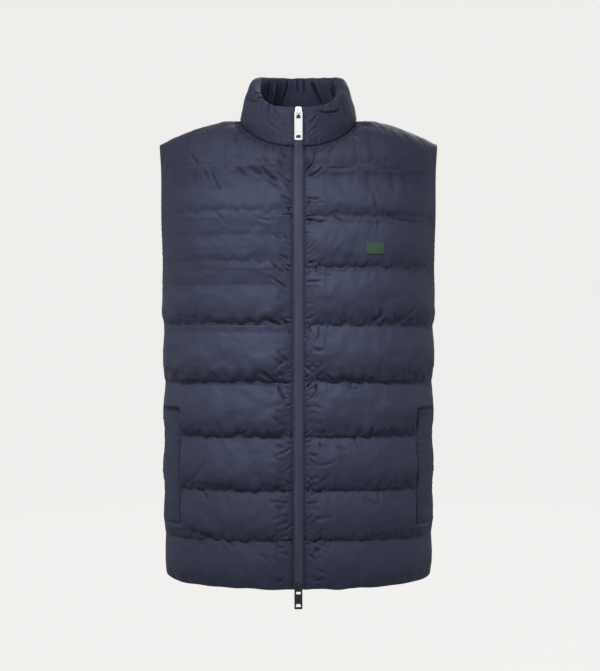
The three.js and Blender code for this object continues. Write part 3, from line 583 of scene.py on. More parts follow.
def gather_upper_edge(field, body, rng):
    """Gathers that hang from the neckline and the shoulder seam."""
    u, v = body.along, body.up
    top_along, top_up = u[-1], v[-1]
    at = 2.0
    while at < top_along[-1] - 2:
        start = float(np.interp(at, top_along, top_up))
        length = rng.uniform(12, 36) * (1.6 if rng.random() < 0.25 else 1)
        share = at / top_along[-1]
        foot = share * float(np.interp(start - length, v[:, -1], u[:, -1]))
        end_u = at + (foot - at) * 0.3 + rng.normal(0, 0.25) * length
        near, far = (at, start - 0.8), (end_u, start - length)
        drawn_crease(field, u, v, rng, near, far, (0.4, 1.3), (1.1, 1.9), 1)
        at += rng.uniform(3, 7)
    field += 0.4 * noise(u, v * 0.25, 13, 211) * smooth(-100, -60, v)


# The folds that stand out one by one. Each is its two ends, across and up the garment, then its depth,
# half width and bend, all in millimetres.
FOLDS = {
    "front_right": [
        (13, -77, 24, -62, 1.5, 1.5, 1), (14, -87, 33, -72, 1.6, 1.6, 1),
        (10, -106, 31, -88, 1.9, 1.4, 1), (11, -117, 22, -104, 1.4, 1.4, 0),
        (23, -117, 40, -106, 1.2, 1.8, 1), (28, -103, 44, -96, 1.5, 2.2, 0),
        (31, -101, 56, -77, 2.4, 2.2, 3), (36, -85, 53, -62, 1.2, 2.0, 2),
        (11, -84, 31, -72, 1.3, 1.8, 1), (50, -94, 72, -80, 2.0, 3.4, 2),
        (74, -97, 90, -79, 1.5, 2.4, 1), (110, -116, 124, -84, 1.9, 1.9, 2),
        (100, -88, 106, -78, 1.0, 1.8, 0), (143, -78, 156, -62, 1.6, 2.0, -1),
        (128, -102, 133, -83, 1.2, 2.4, 0), (150, -104, 147, -84, 1.1, 2.6, 0),
        (176, -108, 178, -86, 1.1, 2.4, 0), (156, -52, 161, -38, 1.2, 2.4, 0),
        (128, -38, 134, -28, 1.0, 2.2, 0), (89, -52, 91, -40, 1.0, 2.0, 0),
        (10, -133, 29, -124, 2.0, 1.5, -2), (9, -156, 21, -135, 2.1, 1.4, -2),
        (11, -164, 17, -157, 1.2, 1.3, 0), (33, -162, 40, -153, 1.1, 1.6, 0),
        (36, -161, 62, -154, 1.3, 2.2, 1), (106, -158, 117, -147, 1.0, 2.0, 0),
        (12, -189, 22, -183, 1.3, 1.4, -1), (22, -187, 38, -177, 1.0, 2.2, 1),
        (14, -216, 28, -207, 1.7, 1.6, -1), (12, -232, 25, -218, 1.8, 1.6, 1),
        (21, -234, 38, -218, 1.3, 2.0, 1), (31, -226, 42, -214, 1.3, 2.2, 0),
        (16, -256, 42, -238, 2.0, 1.7, -1), (10, -320, 28, -292, 2.0, 1.5, -2),
        (24, -309, 44, -295, 1.8, 3.0, 1), (10, -362, 33, -339, 1.6, 2.2, 1),
        (9, -364, 15, -370, 1.3, 1.3, 0), (29, -388, 54, -364, 2.6, 3.6, 2),
        (18, -381, 31, -370, 1.3, 1.8, 0), (10, -390, 24, -388, 1.9, 1.6, 0),
        (17, -413, 29, -389, 2.5, 1.6, 2.5), (10, -406, 20, -405, 1.4, 1.4, 0),
        (9, -420, 20, -423, 1.2, 1.4, 0), (14, -450, 38, -436, 1.3, 2.4, 1),
        (18, -483, 34, -480, 1.2, 1.8, 0), (10, -481, 37, -493, 1.5, 1.9, 2),
        (9, -508, 19, -514, 1.4, 1.5, 0), (9, -544, 40, -535, 1.6, 2.4, 3),
        (14, -561, 39, -557, 2.0, 1.8, -1), (14, -578, 28, -574, 1.4, 1.8, 0),
        (12, -584, 36, -589, 1.4, 2.8, 1), (10, -591, 19, -598, 1.8, 1.5, 0),
        (14, -604, 28, -607, 1.2, 1.8, 0), (12, -634, 28, -629, 1.5, 1.9, 0),
        (41, -640, 57, -630, 1.2, 2.8, 0), (112, -470, 121, -462, 1.4, 1.8, 0),
        (127, -557, 141, -541, 1.8, 1.8, -1), (92, -623, 106, -611, 1.5, 1.9, 0),
        (110, -612, 157, -590, 1.3, 5.0, 4), (150, -520, 178, -560, 1.0, 3.2, 3),
        (128, -500, 150, -528, 0.9, 2.8, 2),
    ],
    "front_left": [
        (10, -87, 23, -74, 2.2, 1.5, 1), (13, -96, 37, -78, 2.2, 1.6, 3),
        (43, -67, 50, -56, 1.0, 1.8, 0), (40, -84, 88, -81, 1.5, 3.2, 1),
        (112, -82, 152, -82, 1.2, 3.6, 1), (163, -89, 185, -88, 0.9, 3.0, 0),
        (149, -109, 157, -122, 1.4, 2.2, 0), (80, -86, 76, -112, 0.7, 3.6, 1),
        (98, -86, 104, -118, 0.9, 4.0, 2), (128, -86, 136, -122, 1.2, 4.6, -2),
        (148, -88, 158, -112, 0.8, 3.6, 2), (171, -92, 169, -118, 0.7, 3.4, 1),
        (106, -119, 112, -148, 1.2, 2.4, 1), (112, -158, 112, -176, 1.2, 1.8, 0),
        (9, -126, 36, -127, 2.0, 1.7, 2), (10, -134, 20, -133, 1.2, 1.4, 0),
        (27, -134, 43, -137, 0.9, 2.0, -2), (10, -152, 29, -152, 1.2, 1.6, 0),
        (10, -156, 45, -160, 1.9, 1.8, 3), (48, -152, 62, -162, 1.6, 1.5, 0),
        (122, -152, 179, -160, 1.3, 2.4, 2), (10, -178, 17, -176, 1.1, 1.4, 0),
        (13, -218, 28, -217, 1.9, 2.2, 0), (23, -222, 28, -237, 1.7, 1.3, 0),
        (27, -236, 51, -238, 1.2, 1.8, -1), (9, -225, 17, -226, 1.2, 1.4, 0),
        (12, -247, 34, -245, 1.9, 1.7, -1), (9, -276, 24, -276, 0.9, 1.6, 0),
        (15, -304, 20, -324, 1.9, 1.3, 1), (28, -309, 24, -331, 2.0, 1.5, -2.5),
        (10, -324, 15, -333, 1.2, 1.3, 0), (9, -365, 20, -375, 1.9, 2.2, 0),
        (11, -396, 20, -386, 1.7, 1.8, 0), (25, -389, 19, -411, 2.3, 1.5, -2.5),
        (10, -409, 18, -405, 1.3, 1.4, 0), (9, -422, 19, -422, 1.3, 1.4, 0),
        (65, -390, 90, -397, 2.0, 1.8, 3), (98, -378, 107, -388, 1.4, 1.8, 0),
        (52, -478, 72, -485, 1.4, 2.4, 1), (78, -468, 85, -481, 1.6, 1.7, 0),
        (29, -473, 32, -484, 1.6, 1.4, 0), (13, -497, 20, -503, 1.2, 1.5, 0),
        (14, -492, 31, -490, 1.1, 1.7, 0), (11, -520, 22, -527, 1.2, 1.6, 0),
        (9, -536, 17, -550, 1.8, 1.3, 0), (13, -532, 24, -547, 1.6, 1.4, 0),
        (10, -560, 29, -556, 2.0, 1.7, 1.5), (9, -585, 20, -575, 1.3, 1.6, 0),
        (98, -555, 113, -563, 1.6, 1.8, 1), (115, -543, 113, -562, 1.5, 1.6, 1),
        (10, -620, 20, -617, 1.7, 1.6, 0), (25, -617, 27, -630, 1.6, 1.5, 0),
        (13, -632, 24, -640, 1.8, 1.8, 0), (11, -651, 17, -648, 1.1, 1.5, 0),
        (24, -616, 50, -623, 1.4, 1.9, 1), (104, -300, 118, -284, 1.8, 3.4, 3),
        (122, -306, 112, -276, 1.5, 3.0, -2), (140, -300, 164, -270, 0.9, 3.0, 4),
    ],
    "back": [
        (38, -80, 52, -52, 1.1, 2.6, 2), (90, -156, 108, -124, 1.2, 2.8, 3),
        (20, -156, 34, -132, 1.0, 2.4, -2), (140, -227, 128, -200, 1.2, 2.4, 2),
        (60, -308, 82, -280, 1.4, 2.8, 3), (150, -389, 132, -360, 1.4, 2.6, -3),
        (40, -467, 62, -440, 1.3, 2.6, 3), (14, -389, 24, -366, 1.1, 2.2, 1),
        (110, -543, 96, -520, 1.3, 2.6, 2), (150, -614, 138, -590, 1.2, 2.6, 2),
        (70, -614, 78, -594, 1.0, 2.2, 0),
    ],
}


# The stitching line is this far in from a front's zip edge.
STITCH_IN = 2.2
# The patch's middle, across and up the garment, and its size.
PATCH_X, PATCH_Z, PATCH_WIDTH, PATCH_HEIGHT = 109.0, -198.0, 25.0, 17.0


def near_patch(body):
    """1 under the patch, falling to 0 in 9 millimetres round it."""
    x, z = body.base[..., 0], body.base[..., 2]
    off = np.maximum(np.abs(x - PATCH_X) - PATCH_WIDTH / 2, np.abs(z - PATCH_Z) - PATCH_HEIGHT / 2)
    return (1 - smooth(0, 9, off)) * (body.base[..., 1] < -60)


def place_on(body, x, z):
    """How far along and up the cloth a place is that lies across and up the garment."""
    nearest = np.hypot(body.base[..., 0] - x, body.base[..., 2] - z).argmin()
    return float(body.along.flat[nearest]), float(body.up.flat[nearest])


def surface_detail(body, name, seed):
    """Everything that the seams pull into the cloth, as a height over the puffed surface."""
    rng = np.random.default_rng(seed)
    u, v = body.along, body.up
    field = np.zeros(u.shape)
    gather_lines(field, body, name, rng)
    gather_edge(field, body, rng)
    gather_upper_edge(field, body, rng)
    if name != "back":
        gather_zip(field, body, rng)
        # The topstitching beside the zip presses the cloth flat, and the groove gets painted shade in the
        # cloth's colour.
        field -= 1.3 * np.exp(-(((u - STITCH_IN) / 1.4) ** 2))
    for x0, z0, x1, z1, depth, width, bend in FOLDS[name]:
        start, end = place_on(body, x0, z0), place_on(body, x1, z1)
        crease(field, u, v, start, end, depth, width, bend, (0.15, 0.4))
    field += 0.12 * noise(u, v, 14, seed + 5) * body.fade
    field += 0.03 * noise(u, v * 1.4, 5, seed + 6) * body.fade
    if name != "back":
        field *= 1 - 0.9 * under_welt(body, 3)
    if name == "front_left":
        field *= 1 - 0.85 * near_patch(body)
    edge = smooth(0, 3, u[:, -1:] - u) * smooth(0, 3, v[-1:] - v) * smooth(0, 3, v - v[:1])
    seam = np.exp(-(((v[-1:] - v) / 1.5) ** 2))
    return field * (0.25 + 0.75 * edge) - 0.7 * seam


def graded(pieces):
    """Shares from 0 to 1 out of (end, count) stretches."""
    shares, last = [0.0], 0.0
    for end, count in pieces:
        shares += list(np.linspace(last, end, count + 1)[1:])
        last = end
    return np.array(shares)


COARSE_SHARES = np.linspace(0, 1, 57)
COARSE_ROWS = make_rows(5.4, 1, 24)
FRONT_SHARES = graded([(0.16, 36), (0.5, 46), (1, 62)])
FRONT_ROWS = make_rows(1.6, 3, 62)
BACK_SHARES = graded([(0.5, 56), (1, 58)])
BACK_ROWS = make_rows(2.1, 3, 46)

coarse = {face: Body(face, COARSE_ROWS, COARSE_SHARES) for face in (-1, 1)}
fine = {-1: Body(-1, FRONT_ROWS, FRONT_SHARES), 1: Body(1, BACK_ROWS, BACK_SHARES)}

# Each half-panel: its name, face, side and seed. The back is two halves of one panel.
HALVES = [("front_left", -1, 1, 11), ("front_right", -1, -1, 23), ("back", 1, 1, 37), ("back", 1, -1, 53)]
MIRROR = np.array([-1.0, 1, 1])


def shaped(body, name, seed):
    """The puffed surface of a half-panel, with a little waviness along its hem."""
    loft = puffed(body, name, seed)
    points = body.base + body.normal * (SEAM + loft)[..., None]
    points[..., 2] -= drooped(body, loft)
    near_hem = 1 - smooth(0, 45, body.up - body.up[:1])
    points[..., 2] += noise(body.along, body.up * 0, 46, seed + 7) * near_hem * smooth(0, 20, body.along)
    return points


def blow_up():
    """Runs the cloth of all the halves together and returns each one's wrinkles on its fine grid."""
    started = {}
    for name, face, side, seed in HALVES:
        start = shaped(coarse[face], name, seed) * (MIRROR if side < 0 else 1)
        made = start_cloth(f"sim_{name}_{side}", start, sewn_points(coarse[face]))
        started[(name, side)] = (made, start)
    timeline = bpy.context.scene
    timeline.frame_start, timeline.frame_end = 1, SIM_FRAMES
    for step in range(1, SIM_FRAMES + 1):
        timeline.frame_set(step)
    found = {}
    for name, face, side, _ in HALVES:
        body = fine[face]
        wrinkles = wrinkles_of(*started[(name, side)]) * (MIRROR if side < 0 else 1)
        wrinkles = resampled(wrinkles, coarse[face].levels, COARSE_SHARES, body.levels, body.shares)
        share = WRINKLE_SHARE * body.fade * (1 - 0.9 * smooth(LAST + 1, LAST + 1.3, body.levels))[:, None]
        if name != "back":
            share = share * (1 - under_welt(body, 5))
        if name == "front_left":
            share = share * (1 - near_patch(body))
        found[(name, side)] = blurred(wrinkles, 1) * share[..., None]
    for made, _ in started.values():
        bpy.data.meshes.remove(made.data)
    timeline.frame_set(1)
    return found


wrinkled = blow_up()
halves, details = {}, {}
for name, face, side, seed in HALVES:
    body = fine[face]
    detail = surface_detail(body, name, seed + 100)
    points = shaped(body, name, seed) + body.normal * detail[..., None] + wrinkled.get((name, side), 0)
    halves[(name, side)], details[(name, side)] = points, detail


def mirrored(grid):
    return (grid * MIRROR)[:, ::-1]


def joined(left, right):
    """One full-width grid out of two that both run outward from the middle."""
    return np.concatenate([left[:, ::-1][:, :-1], right], 1)


def wall(name, outer, inner, coarse_step, rim=0.5):
    """A closed wall: a fine outer cloth, a plain inner one and a softly rounded rim between them."""
    rows, columns = outer.shape[:2]
    ring = [(0, c) for c in range(columns)] + [(r, columns - 1) for r in range(1, rows)]
    ring += [(rows - 1, c) for c in range(columns - 2, -1, -1)] + [(r, 0) for r in range(rows - 2, 0, -1)]
    ring = np.array(ring)
    top, low = outer[ring[:, 0], ring[:, 1]], inner[ring[:, 0], ring[:, 1]]
    inside = outer[np.clip(ring[:, 0], 1, rows - 2), np.clip(ring[:, 1], 1, columns - 2)]
    away = unit(top - inside)
    points = [outer.reshape(-1, 3)]
    faces = grid_faces(rows, columns).tolist()
    count = rows * columns
    previous = ring[:, 0] * columns + ring[:, 1]
    n = len(ring)
    following = np.roll(np.arange(n), -1)
    for share, bulge in ((0.25, 0.8), (0.5, 1.0), (0.75, 0.8)):
        points.append(top + (low - top) * share + away * rim * bulge)
        current = np.arange(n) + count
        faces += np.stack([previous, current, current[following], previous[following]], 1).tolist()
        previous = current
        count += n
    kept_rows = sorted({*range(0, rows - 1, coarse_step), rows - 1})
    kept_columns = sorted({*range(0, columns - 1, coarse_step), columns - 1})
    number = {}

    def vertex(r, c):
        nonlocal count
        if (r, c) not in number:
            number[(r, c)] = count
            points.append(inner[r, c][None])
            count += 1
        return number[(r, c)]

    edge = np.array([vertex(r, c) for r, c in ring])
    faces += np.stack([previous, edge, edge[following], previous[following]], 1).tolist()
    for a, b in zip(kept_rows, kept_rows[1:]):
        for c, d in zip(kept_columns, kept_columns[1:]):
            bottom = [(a, k) for k in (range(c, d) if a == 0 else (c,))]
            right = [(k, d) for k in (range(a, b) if d == columns - 1 else (a,))]
            upper = [(b, k) for k in (range(d, c, -1) if b == rows - 1 else (d,))]
            left = [(k, c) for k in (range(b, a, -1) if c == 0 else (b,))]
            faces.append([vertex(*at) for at in bottom + right + upper + left][::-1])
    made = new_object(name, np.concatenate(points), faces)
    soften(made, 60)
    return made


def soften(made, angle):
    """Smooth shading that leaves edges sharper than the angle crisp."""
    mesh = made.data
    mesh.validate()
    fix_winding(mesh)
    mesh.shade_smooth()
    mesh.set_sharp_from_angle(angle=math.radians(angle))


def fix_winding(mesh):
    """Turns the faces outward, if the closed mesh was built inside out."""
    co = np.zeros(len(mesh.vertices) * 3)
    mesh.vertices.foreach_get("co", co)
    co = co.reshape(-1, 3)
    mesh.calc_loop_triangles()
    tri = np.zeros(len(mesh.loop_triangles) * 3, int)
    mesh.loop_triangles.foreach_get("vertices", tri)
    a, b, c = (co[tri.reshape(-1, 3)[:, k]] for k in range(3))
    if (a * np.cross(b, c)).sum() < 0:
        mesh.flip_normals()


# A crease this deep, in millimetres, gets the full painted shade.
CREASE_DEPTH_FULL_SHADE = 2.2


def add_cloth_place(made, along, up, detail, side=1):
    """Stores where each point lies on the cloth, in millimetres, and the painted shade that its depth in a
    crease gives it, from 0 to 1.
    """
    if side < 0:
        along, up, detail = -along[:, ::-1], up[:, ::-1], detail[:, ::-1]
    place = made.data.attributes.new("cloth_place", "FLOAT_VECTOR", "POINT")
    values = np.zeros((len(made.data.vertices), 3))
    flat = np.stack([along.ravel(), up.ravel()], 1)
    values[: len(flat), :2] = flat
    place.data.foreach_set("vector", values.ravel())
    # Painted shade: the deeper a point lies in a crease or seam groove, the darker its cloth colour is made.
    crease_shade = made.data.attributes.new("crease_shade", "FLOAT", "POINT")
    depth = np.zeros(len(made.data.vertices))
    depth[: len(flat)] = np.clip(-detail.ravel() / CREASE_DEPTH_FULL_SHADE, 0, 1)
    crease_shade.data.foreach_set("value", depth)


# How many rows and columns of the outer cloth lie to one of the inner wall.
FRONT_STEP, BACK_STEP, WELT_STEP = 9, 7, 6

pieces = {}
front, back = fine[-1], fine[1]
pieces["front_left"] = wall("left_front_cloth", halves[("front_left", 1)], front.base, FRONT_STEP)
right_outer, right_inner = mirrored(halves[("front_right", -1)]), mirrored(front.base)
pieces["front_right"] = wall("right_front_cloth", right_outer, right_inner, FRONT_STEP)
back_outer = joined(halves[("back", -1)] * MIRROR, halves[("back", 1)])
back_inner = joined(back.base * MIRROR, back.base)
pieces["back"] = wall("back_cloth", back_outer, back_inner, BACK_STEP)
for node, side in (("front_left", 1), ("front_right", -1)):
    add_cloth_place(pieces[node], front.along, front.up, details[(node, side)], side)
back_detail = joined(details[("back", -1)], details[("back", 1)])
add_cloth_place(pieces["back"], joined(-back.along, back.along), joined(back.up, back.up), back_detail)


# Collar: stations run from the zip edge at +X round the back to the other zip edge.
def collar_stations():
    neck = {face: int(np.searchsorted(fine[face].shares, 0.5)) for face in (-1, 1)}

    def quarter(face, columns):
        body = fine[face]
        turn = body.shares[columns] * 2
        first, side = (FIRST_ANGLE if face < 0 else math.pi), math.pi / 2
        angle = first + (side - first) * turn
        point = body.base[-1, columns].copy()
        point[turn > 0.999, 1] = 0
        return point, body.normal[-1, columns], angle

    one = quarter(-1, np.arange(neck[-1]))
    two = quarter(1, np.arange(neck[1], -1, -1))
    half = [np.concatenate(pair) for pair in zip(one, two)]
    point = np.concatenate([half[0], (half[0] * MIRROR)[-2::-1]])
    normal = np.concatenate([half[1], (half[1] * MIRROR)[-2::-1]])
    angle = np.concatenate([half[2], (math.tau - half[2])[-2::-1]])
    before, after = np.roll(point, 1, 0), np.roll(point, -1, 0)
    before[0], after[-1] = point[0], point[-1]
    beyond = np.cross(after - before, normal)
    beyond[[0, -1], 0] = 0
    beyond = unit(beyond)
    inward = -point
    inward[:, 2] = NECK_FRONT
    beyond[(beyond * inward).sum(1) < 0] *= -1
    return point, normal, angle, beyond


def collar_top(angle):
    forward = np.cos(angle)
    depth = np.where(forward > 0, COLLAR_FRONT, COLLAR_BACK)
    from_front = np.degrees(np.minimum(angle, math.tau - angle))
    return np.stack([COLLAR_HALF * np.sin(angle), -depth * forward, hermite(COLLAR_TOP, 1, from_front)], 1)


# How far the collar stands out and in from its middle, by share of its height.
OUT_PROFILE = np.array([[0.1, 3], [0.28, 4.6], [0.5, 5.6], [0.72, 6.1], [0.86, 5.9]], float)
IN_PROFILE = np.array([[0.1, 3], [0.28, 6.5], [0.5, 8], [0.72, 8], [0.86, 7.2]], float)
CAP_FROM = 0.86
# The upright folds inside the collar: angle round the neck from the front, depth and spread in degrees.
COLLAR_FOLDS = ((118, 4.5, 9), (152, 3.5, 9), (197, 4.5, 10), (236, 4, 9))
SIDE_STEPS, CAP_STEPS = 40, 14


def collar_grid():
    """Rows run up the outside, over the top and down the inside; there is a column for each station."""
    point, normal, angle, beyond = collar_stations()
    top = collar_top(angle)
    top[[0, -1], 0] = ZIP_HALF, -ZIP_HALF
    radial = unit(point * np.array([1, 1, 0]))
    radial[[0, -1]] = (0, -1, 0)
    rise = top - point
    upright = unit(rise)
    outward = unit(radial - upright * (radial * upright).sum(1, keepdims=True))
    outward[[0, -1], 0] = 0
    outward = unit(outward)
    foot = point + beyond * 2 * GAP
    from_zip = np.minimum(angle, math.tau - angle)
    fade = smooth(0, 16, (from_zip - FIRST_ANGLE) * NECK_HALF)[:, None]
    full = 0.2 + 0.8 * fade
    shift = SEAM * (1 - fade)
    degrees = np.degrees(angle)[:, None]

    def out_reach(h):
        return shift + hermite(OUT_PROFILE, 1, max(h, 0.1)) * full

    def in_reach(h):
        folds = np.max([d * np.exp(-(((degrees - at) / spread) ** 2)) for at, d, spread in COLLAR_FOLDS], 0)
        folds = folds * math.sin(math.pi * min(1, 0.15 + h * 0.85))
        plump = 1 + 0.7 * np.sin(angle)[:, None] ** 2
        return np.maximum(1, hermite(IN_PROFILE, 1, max(h, 0.1)) * plump - folds) * fade

    rows = []
    for h in np.linspace(0, CAP_FROM, SIDE_STEPS):
        at = point + rise * h + outward * out_reach(h)
        rows.append(at + (foot + normal * SEAM - at) * (1 - smooth(0, 0.1, h)))
    for k in range(1, CAP_STEPS):
        turn = math.pi * k / CAP_STEPS
        h = CAP_FROM + (1 - CAP_FROM) * math.sin(turn)
        reach = out_reach(CAP_FROM) if turn < math.pi / 2 else in_reach(CAP_FROM)
        middle = shift * 0.5 * math.sin(turn)
        rows.append(point + rise * h + outward * (reach * math.cos(turn) + middle))
    for h in np.linspace(CAP_FROM, 0, SIDE_STEPS):
        at = point + rise * h - outward * in_reach(h)
        rows.append(at + (foot - at) * (1 - smooth(0, 0.1, h)))
    return np.array(rows)


def collar_detail(grid, rng):
    """The collar's gathers and folds, and how far round and over it each point lies."""
    u = lengths_along(grid[0])[None] * np.ones((len(grid), 1))
    steps = np.linalg.norm(np.diff(grid, axis=0), axis=2)
    v = np.concatenate([np.zeros((1, grid.shape[1])), np.cumsum(steps, 0)], 0)
    crest = SIDE_STEPS + CAP_STEPS // 2 - 1
    v = v - v[crest]
    end = u[0, -1]
    field = np.zeros(u.shape)
    # Gathers along the seam at the foot, outside and in, and soft ripples over the top.
    at = 3.0
    while at < end - 3:
        column = int(np.searchsorted(u[0], at))
        low, high = v[0, column], v[-1, column]
        lean = rng.normal(0, 0.3)
        length = rng.uniform(5, 15)
        near, far = (at, low + 0.5), (at + lean * length, low + length)
        drawn_crease(field, u, v, rng, near, far, (0.3, 1.1), (1.2, 2), 0.8)
        length = rng.uniform(8, 26)
        near, far = (at, high - 0.5), (at - lean * length, high - length)
        drawn_crease(field, u, v, rng, near, far, (0.3, 0.9), (1.4, 2.4), 1)
        if rng.random() < 0.5:
            away = rng.uniform(6, 22)
            near, far = (at, rng.uniform(-4, 4)), (at + lean * away, away)
            drawn_crease(field, u, v, rng, near, far, (0.2, 0.7), (1.6, 2.8), 1.5, (0.3, 0.5))
        at += rng.uniform(5, 10)
    # Pulls beside the zip.
    for edge, way in ((0.0, 1), (end, -1)):
        at = -58.0
        while at < -3:
            length = rng.uniform(6, 16)
            far = (edge + way * (1 + length), at + rng.normal(0.2, 0.35) * length)
            drawn_crease(field, u, v, rng, (edge + way, at), far, (0.3, 0.8), (1.1, 1.8), 1)
            at += rng.uniform(4.5, 9)
    for u0, v0, u1, v1, depth, width, bend in COLLAR_CREASES:
        crease(field, u, v, (u0, v0), (u1, v1), depth, width, bend, (0.1, 0.35))
    ripples = 0.35 * noise(u, v, 26, 71) + 0.16 * noise(u, v, 9, 72)
    field += ripples * smooth(0, 14, u) * smooth(0, 14, end - u)
    ends = smooth(0, 2.5, u) * smooth(0, 2.5, end - u)
    feet = smooth(0, 3, v - v[:1]) * smooth(0, 3, v[-1:] - v)
    seam = np.exp(-(((v - v[:1]) / 1.5) ** 2))
    return field * (0.2 + 0.8 * ends * feet) - 0.5 * seam, u, v


# Folds of the collar. Each is its two ends, round it from the zip edge at +X and over its top edge towards
# the inside, then its depth, half width and bend, all in millimetres.
COLLAR_CREASES = (
    (68, 5, 75, -18, 3.0, 1.6, 1), (74, -19, 44, -14, 2.5, 1.3, -2), (52, -17, 26, -10, 2.4, 1.4, -2),
    (60, -2, 52, -12, 1.8, 1.7, 1), (44, -4, 34, -16, 1.4, 1.6, 1), (90, -4, 84, -40, 1.4, 3.0, 3),
    (26, -18, 12, -30, 1.4, 1.6, 1), (24, -34, 8, -44, 1.2, 1.6, 1), (396, -22, 446, -8, 2.6, 2.2, 3),
    (404, -10, 420, -17, 1.6, 1.9, -1), (410, -34, 430, -52, 1.4, 2.4, 2),
    (470, 2, 478, -22, 2.3, 1.6, 2), (436, 7, 447, -16, 2.6, 1.6, 1), (422, 8, 427, -12, 2.2, 1.5, -1),
    (458, 8, 450, -10, 2.0, 1.4, 1), (484, -10, 500, -24, 1.6, 1.6, 1),
    (452, -8, 460, -32, 1.8, 2.0, -2), (478, -30, 498, -40, 1.2, 1.6, 1), (172, 4, 177, 56, 4.6, 2.1, 3),
    (188, 4, 185, 40, 2.2, 2.0, -1), (232, 7, 211, 60, 4.8, 2.0, -3), (248, 2, 246, 30, 2.0, 2.0, 1),
    (262, 3, 260, 26, 2.2, 1.8, 1), (284, 6, 293, 42, 2.4, 2.0, -2), (311, 12, 308, 60, 5.0, 2.0, 2),
    (334, 5, 330, 42, 2.4, 2.2, -2), (354, 4, 349, 60, 4.8, 2.1, 3),
)


def build_collar():
    """The collar as one closed skin, and the points of its grid."""
    grid = collar_grid()
    rows, columns = grid.shape[:2]
    detail, u, v = collar_detail(grid, np.random.default_rng(61))
    normal = grid_normals(grid)
    middle = (grid[0] + grid[-1]) / 2
    if (normal[SIDE_STEPS // 2] * (grid[SIDE_STEPS // 2] - middle)).sum() < 0:
        normal = -normal
    points = grid + normal * detail[..., None]
    faces = grid_faces(rows, columns).tolist()
    low, high = np.arange(columns), np.arange(columns) + (rows - 1) * columns
    faces += np.stack([high[:-1], high[1:], low[1:], low[:-1]], 1).tolist()
    first, last = np.arange(rows) * columns, np.arange(rows) * columns + columns - 1
    faces += [first.tolist(), last[::-1].tolist()]
    made = new_object("collar_cloth", points, faces)
    soften(made, 60)
    add_cloth_place(made, u, v, detail)
    return made, points


pieces["collar"], collar_points = build_collar()


# Zip: one band of tape up the whole front, with its teeth on the inside.
TAPE_HALF, TAPE_LOW, TAPE_HIGH = 6.5, 0.6, 2.0
ZIP_END_BELOW_COLLAR_TOP = 4.0


def zip_path():
    """Points up the inner face of the zip edges and the collar, with their outward directions."""
    points = [p * (0, 1, 1) for p in front.base[::3, 0]]
    outs = list(front.normal[::3, 0])
    if (len(front.base) - 1) % 3:
        points.append(front.base[-1, 0] * (0, 1, 1))
        outs.append(front.normal[-1, 0])
    neck = front.base[-1, 0]
    end = collar_top(np.array([FIRST_ANGLE]))[0]
    end[0] = ZIP_HALF
    lean = unit(end - neck)
    out = np.array([0, -lean[2], lean[1]])
    length = np.linalg.norm(end - neck) - ZIP_END_BELOW_COLLAR_TOP
    outs[-1] = unit(outs[-1] + out)
    for at in np.linspace(0, length, 20)[1:]:
        points.append((neck + lean * at) * (0, 1, 1))
        outs.append(out)
    return np.array(points), np.array(outs)


ZIP_POINTS, ZIP_OUTS = zip_path()


def spaced(points, pitch, start=0.0):
    """Where evenly spaced places fall along a line of points, as fractional indices."""
    along = lengths_along(points)
    return np.interp(np.arange(start, along[-1], pitch), along, np.arange(len(points)))


def between(values, places):
    """The values at fractional indices."""
    low = np.clip(np.floor(places).astype(int), 0, len(values) - 2)
    t = (places - low)[:, None]
    return values[low] * (1 - t) + values[low + 1] * t


def build_zip_band():
    right = np.concatenate([[0.12, 0.3], np.linspace(0.5, TAPE_HALF, 10)])
    x = np.concatenate([-right[::-1], right])
    # A crowned section, with a groove where the two tapes meet and thinner edges.
    depth = np.full_like(x, TAPE_HIGH)
    depth -= 0.3 * (1 - smooth(0.1, 0.42, np.abs(x)))
    depth -= 0.6 * smooth(TAPE_HALF - 1.2, TAPE_HALF, np.abs(x))
    depth += 0.35 * (1 - smooth(1.2, 3.4, np.abs(x))) + 0.5 * (1 - (x / TAPE_HALF) ** 2)
    section = list(zip(x, depth)) + [(TAPE_HALF, TAPE_LOW), (0, TAPE_LOW), (-TAPE_HALF, TAPE_LOW)]
    ring = np.array([[[sx, *(p + o * d)[1:]] for sx, d in section] for p, o in zip(ZIP_POINTS, ZIP_OUTS)])
    rows, columns = ring.shape[:2]
    ends = [list(range(columns))[::-1], [(rows - 1) * columns + c for c in range(columns)]]
    made = new_object("zip_band", ring, tube_faces(rows, columns) + ends)
    soften(made, 40)
    return made


def capsules(name, centres, ways, ups, length, radius, sides=6):
    """Many small rounded bars, joined into one object."""
    profile = ((-0.5, 0.0), (-0.42, 0.75), (-0.25, 1.0), (0.25, 1.0), (0.42, 0.75), (0.5, 0.0))
    ways, ups = unit(ways), unit(ups)
    sideways = unit(np.cross(ways, ups))
    tube = np.array(tube_faces(len(profile), sides))
    points, faces = [], []
    for c, w, u, s in zip(centres, ways, ups, sideways):
        faces += (tube + len(points)).tolist()
        for along, wide in profile:
            for i in range(sides):
                turn = math.tau * i / sides
                outward = s * math.cos(turn) + u * math.sin(turn)
                points.append(c + w * along * length + outward * radius * wide)
    made = new_object(name, points, faces)
    made.data.validate()
    made.data.shade_smooth()
    return made


TOOTH_PITCH, TOOTH_LENGTH, TOOTH_RADIUS = 2.6, 4.2, 0.62


def build_zip_teeth():
    places = spaced(ZIP_POINTS, TOOTH_PITCH, 2.0)
    outs = between(ZIP_OUTS, places)
    centres = between(ZIP_POINTS, places) + outs * 0.35
    ways = np.tile([1.0, 0, 0], (len(places), 1))
    return capsules("zip_teeth", centres, ways, outs, TOOTH_LENGTH, TOOTH_RADIUS)


STITCH_PITCH, STITCH_LENGTH, STITCH_RADIUS = 3.0, 2.0, 0.46


def point_on_row(reach, row):
    """The point of a row that lies STITCH_IN from its first point, by how far along each point lies."""
    return [np.interp(STITCH_IN, reach, row[:, axis]) for axis in range(3)]


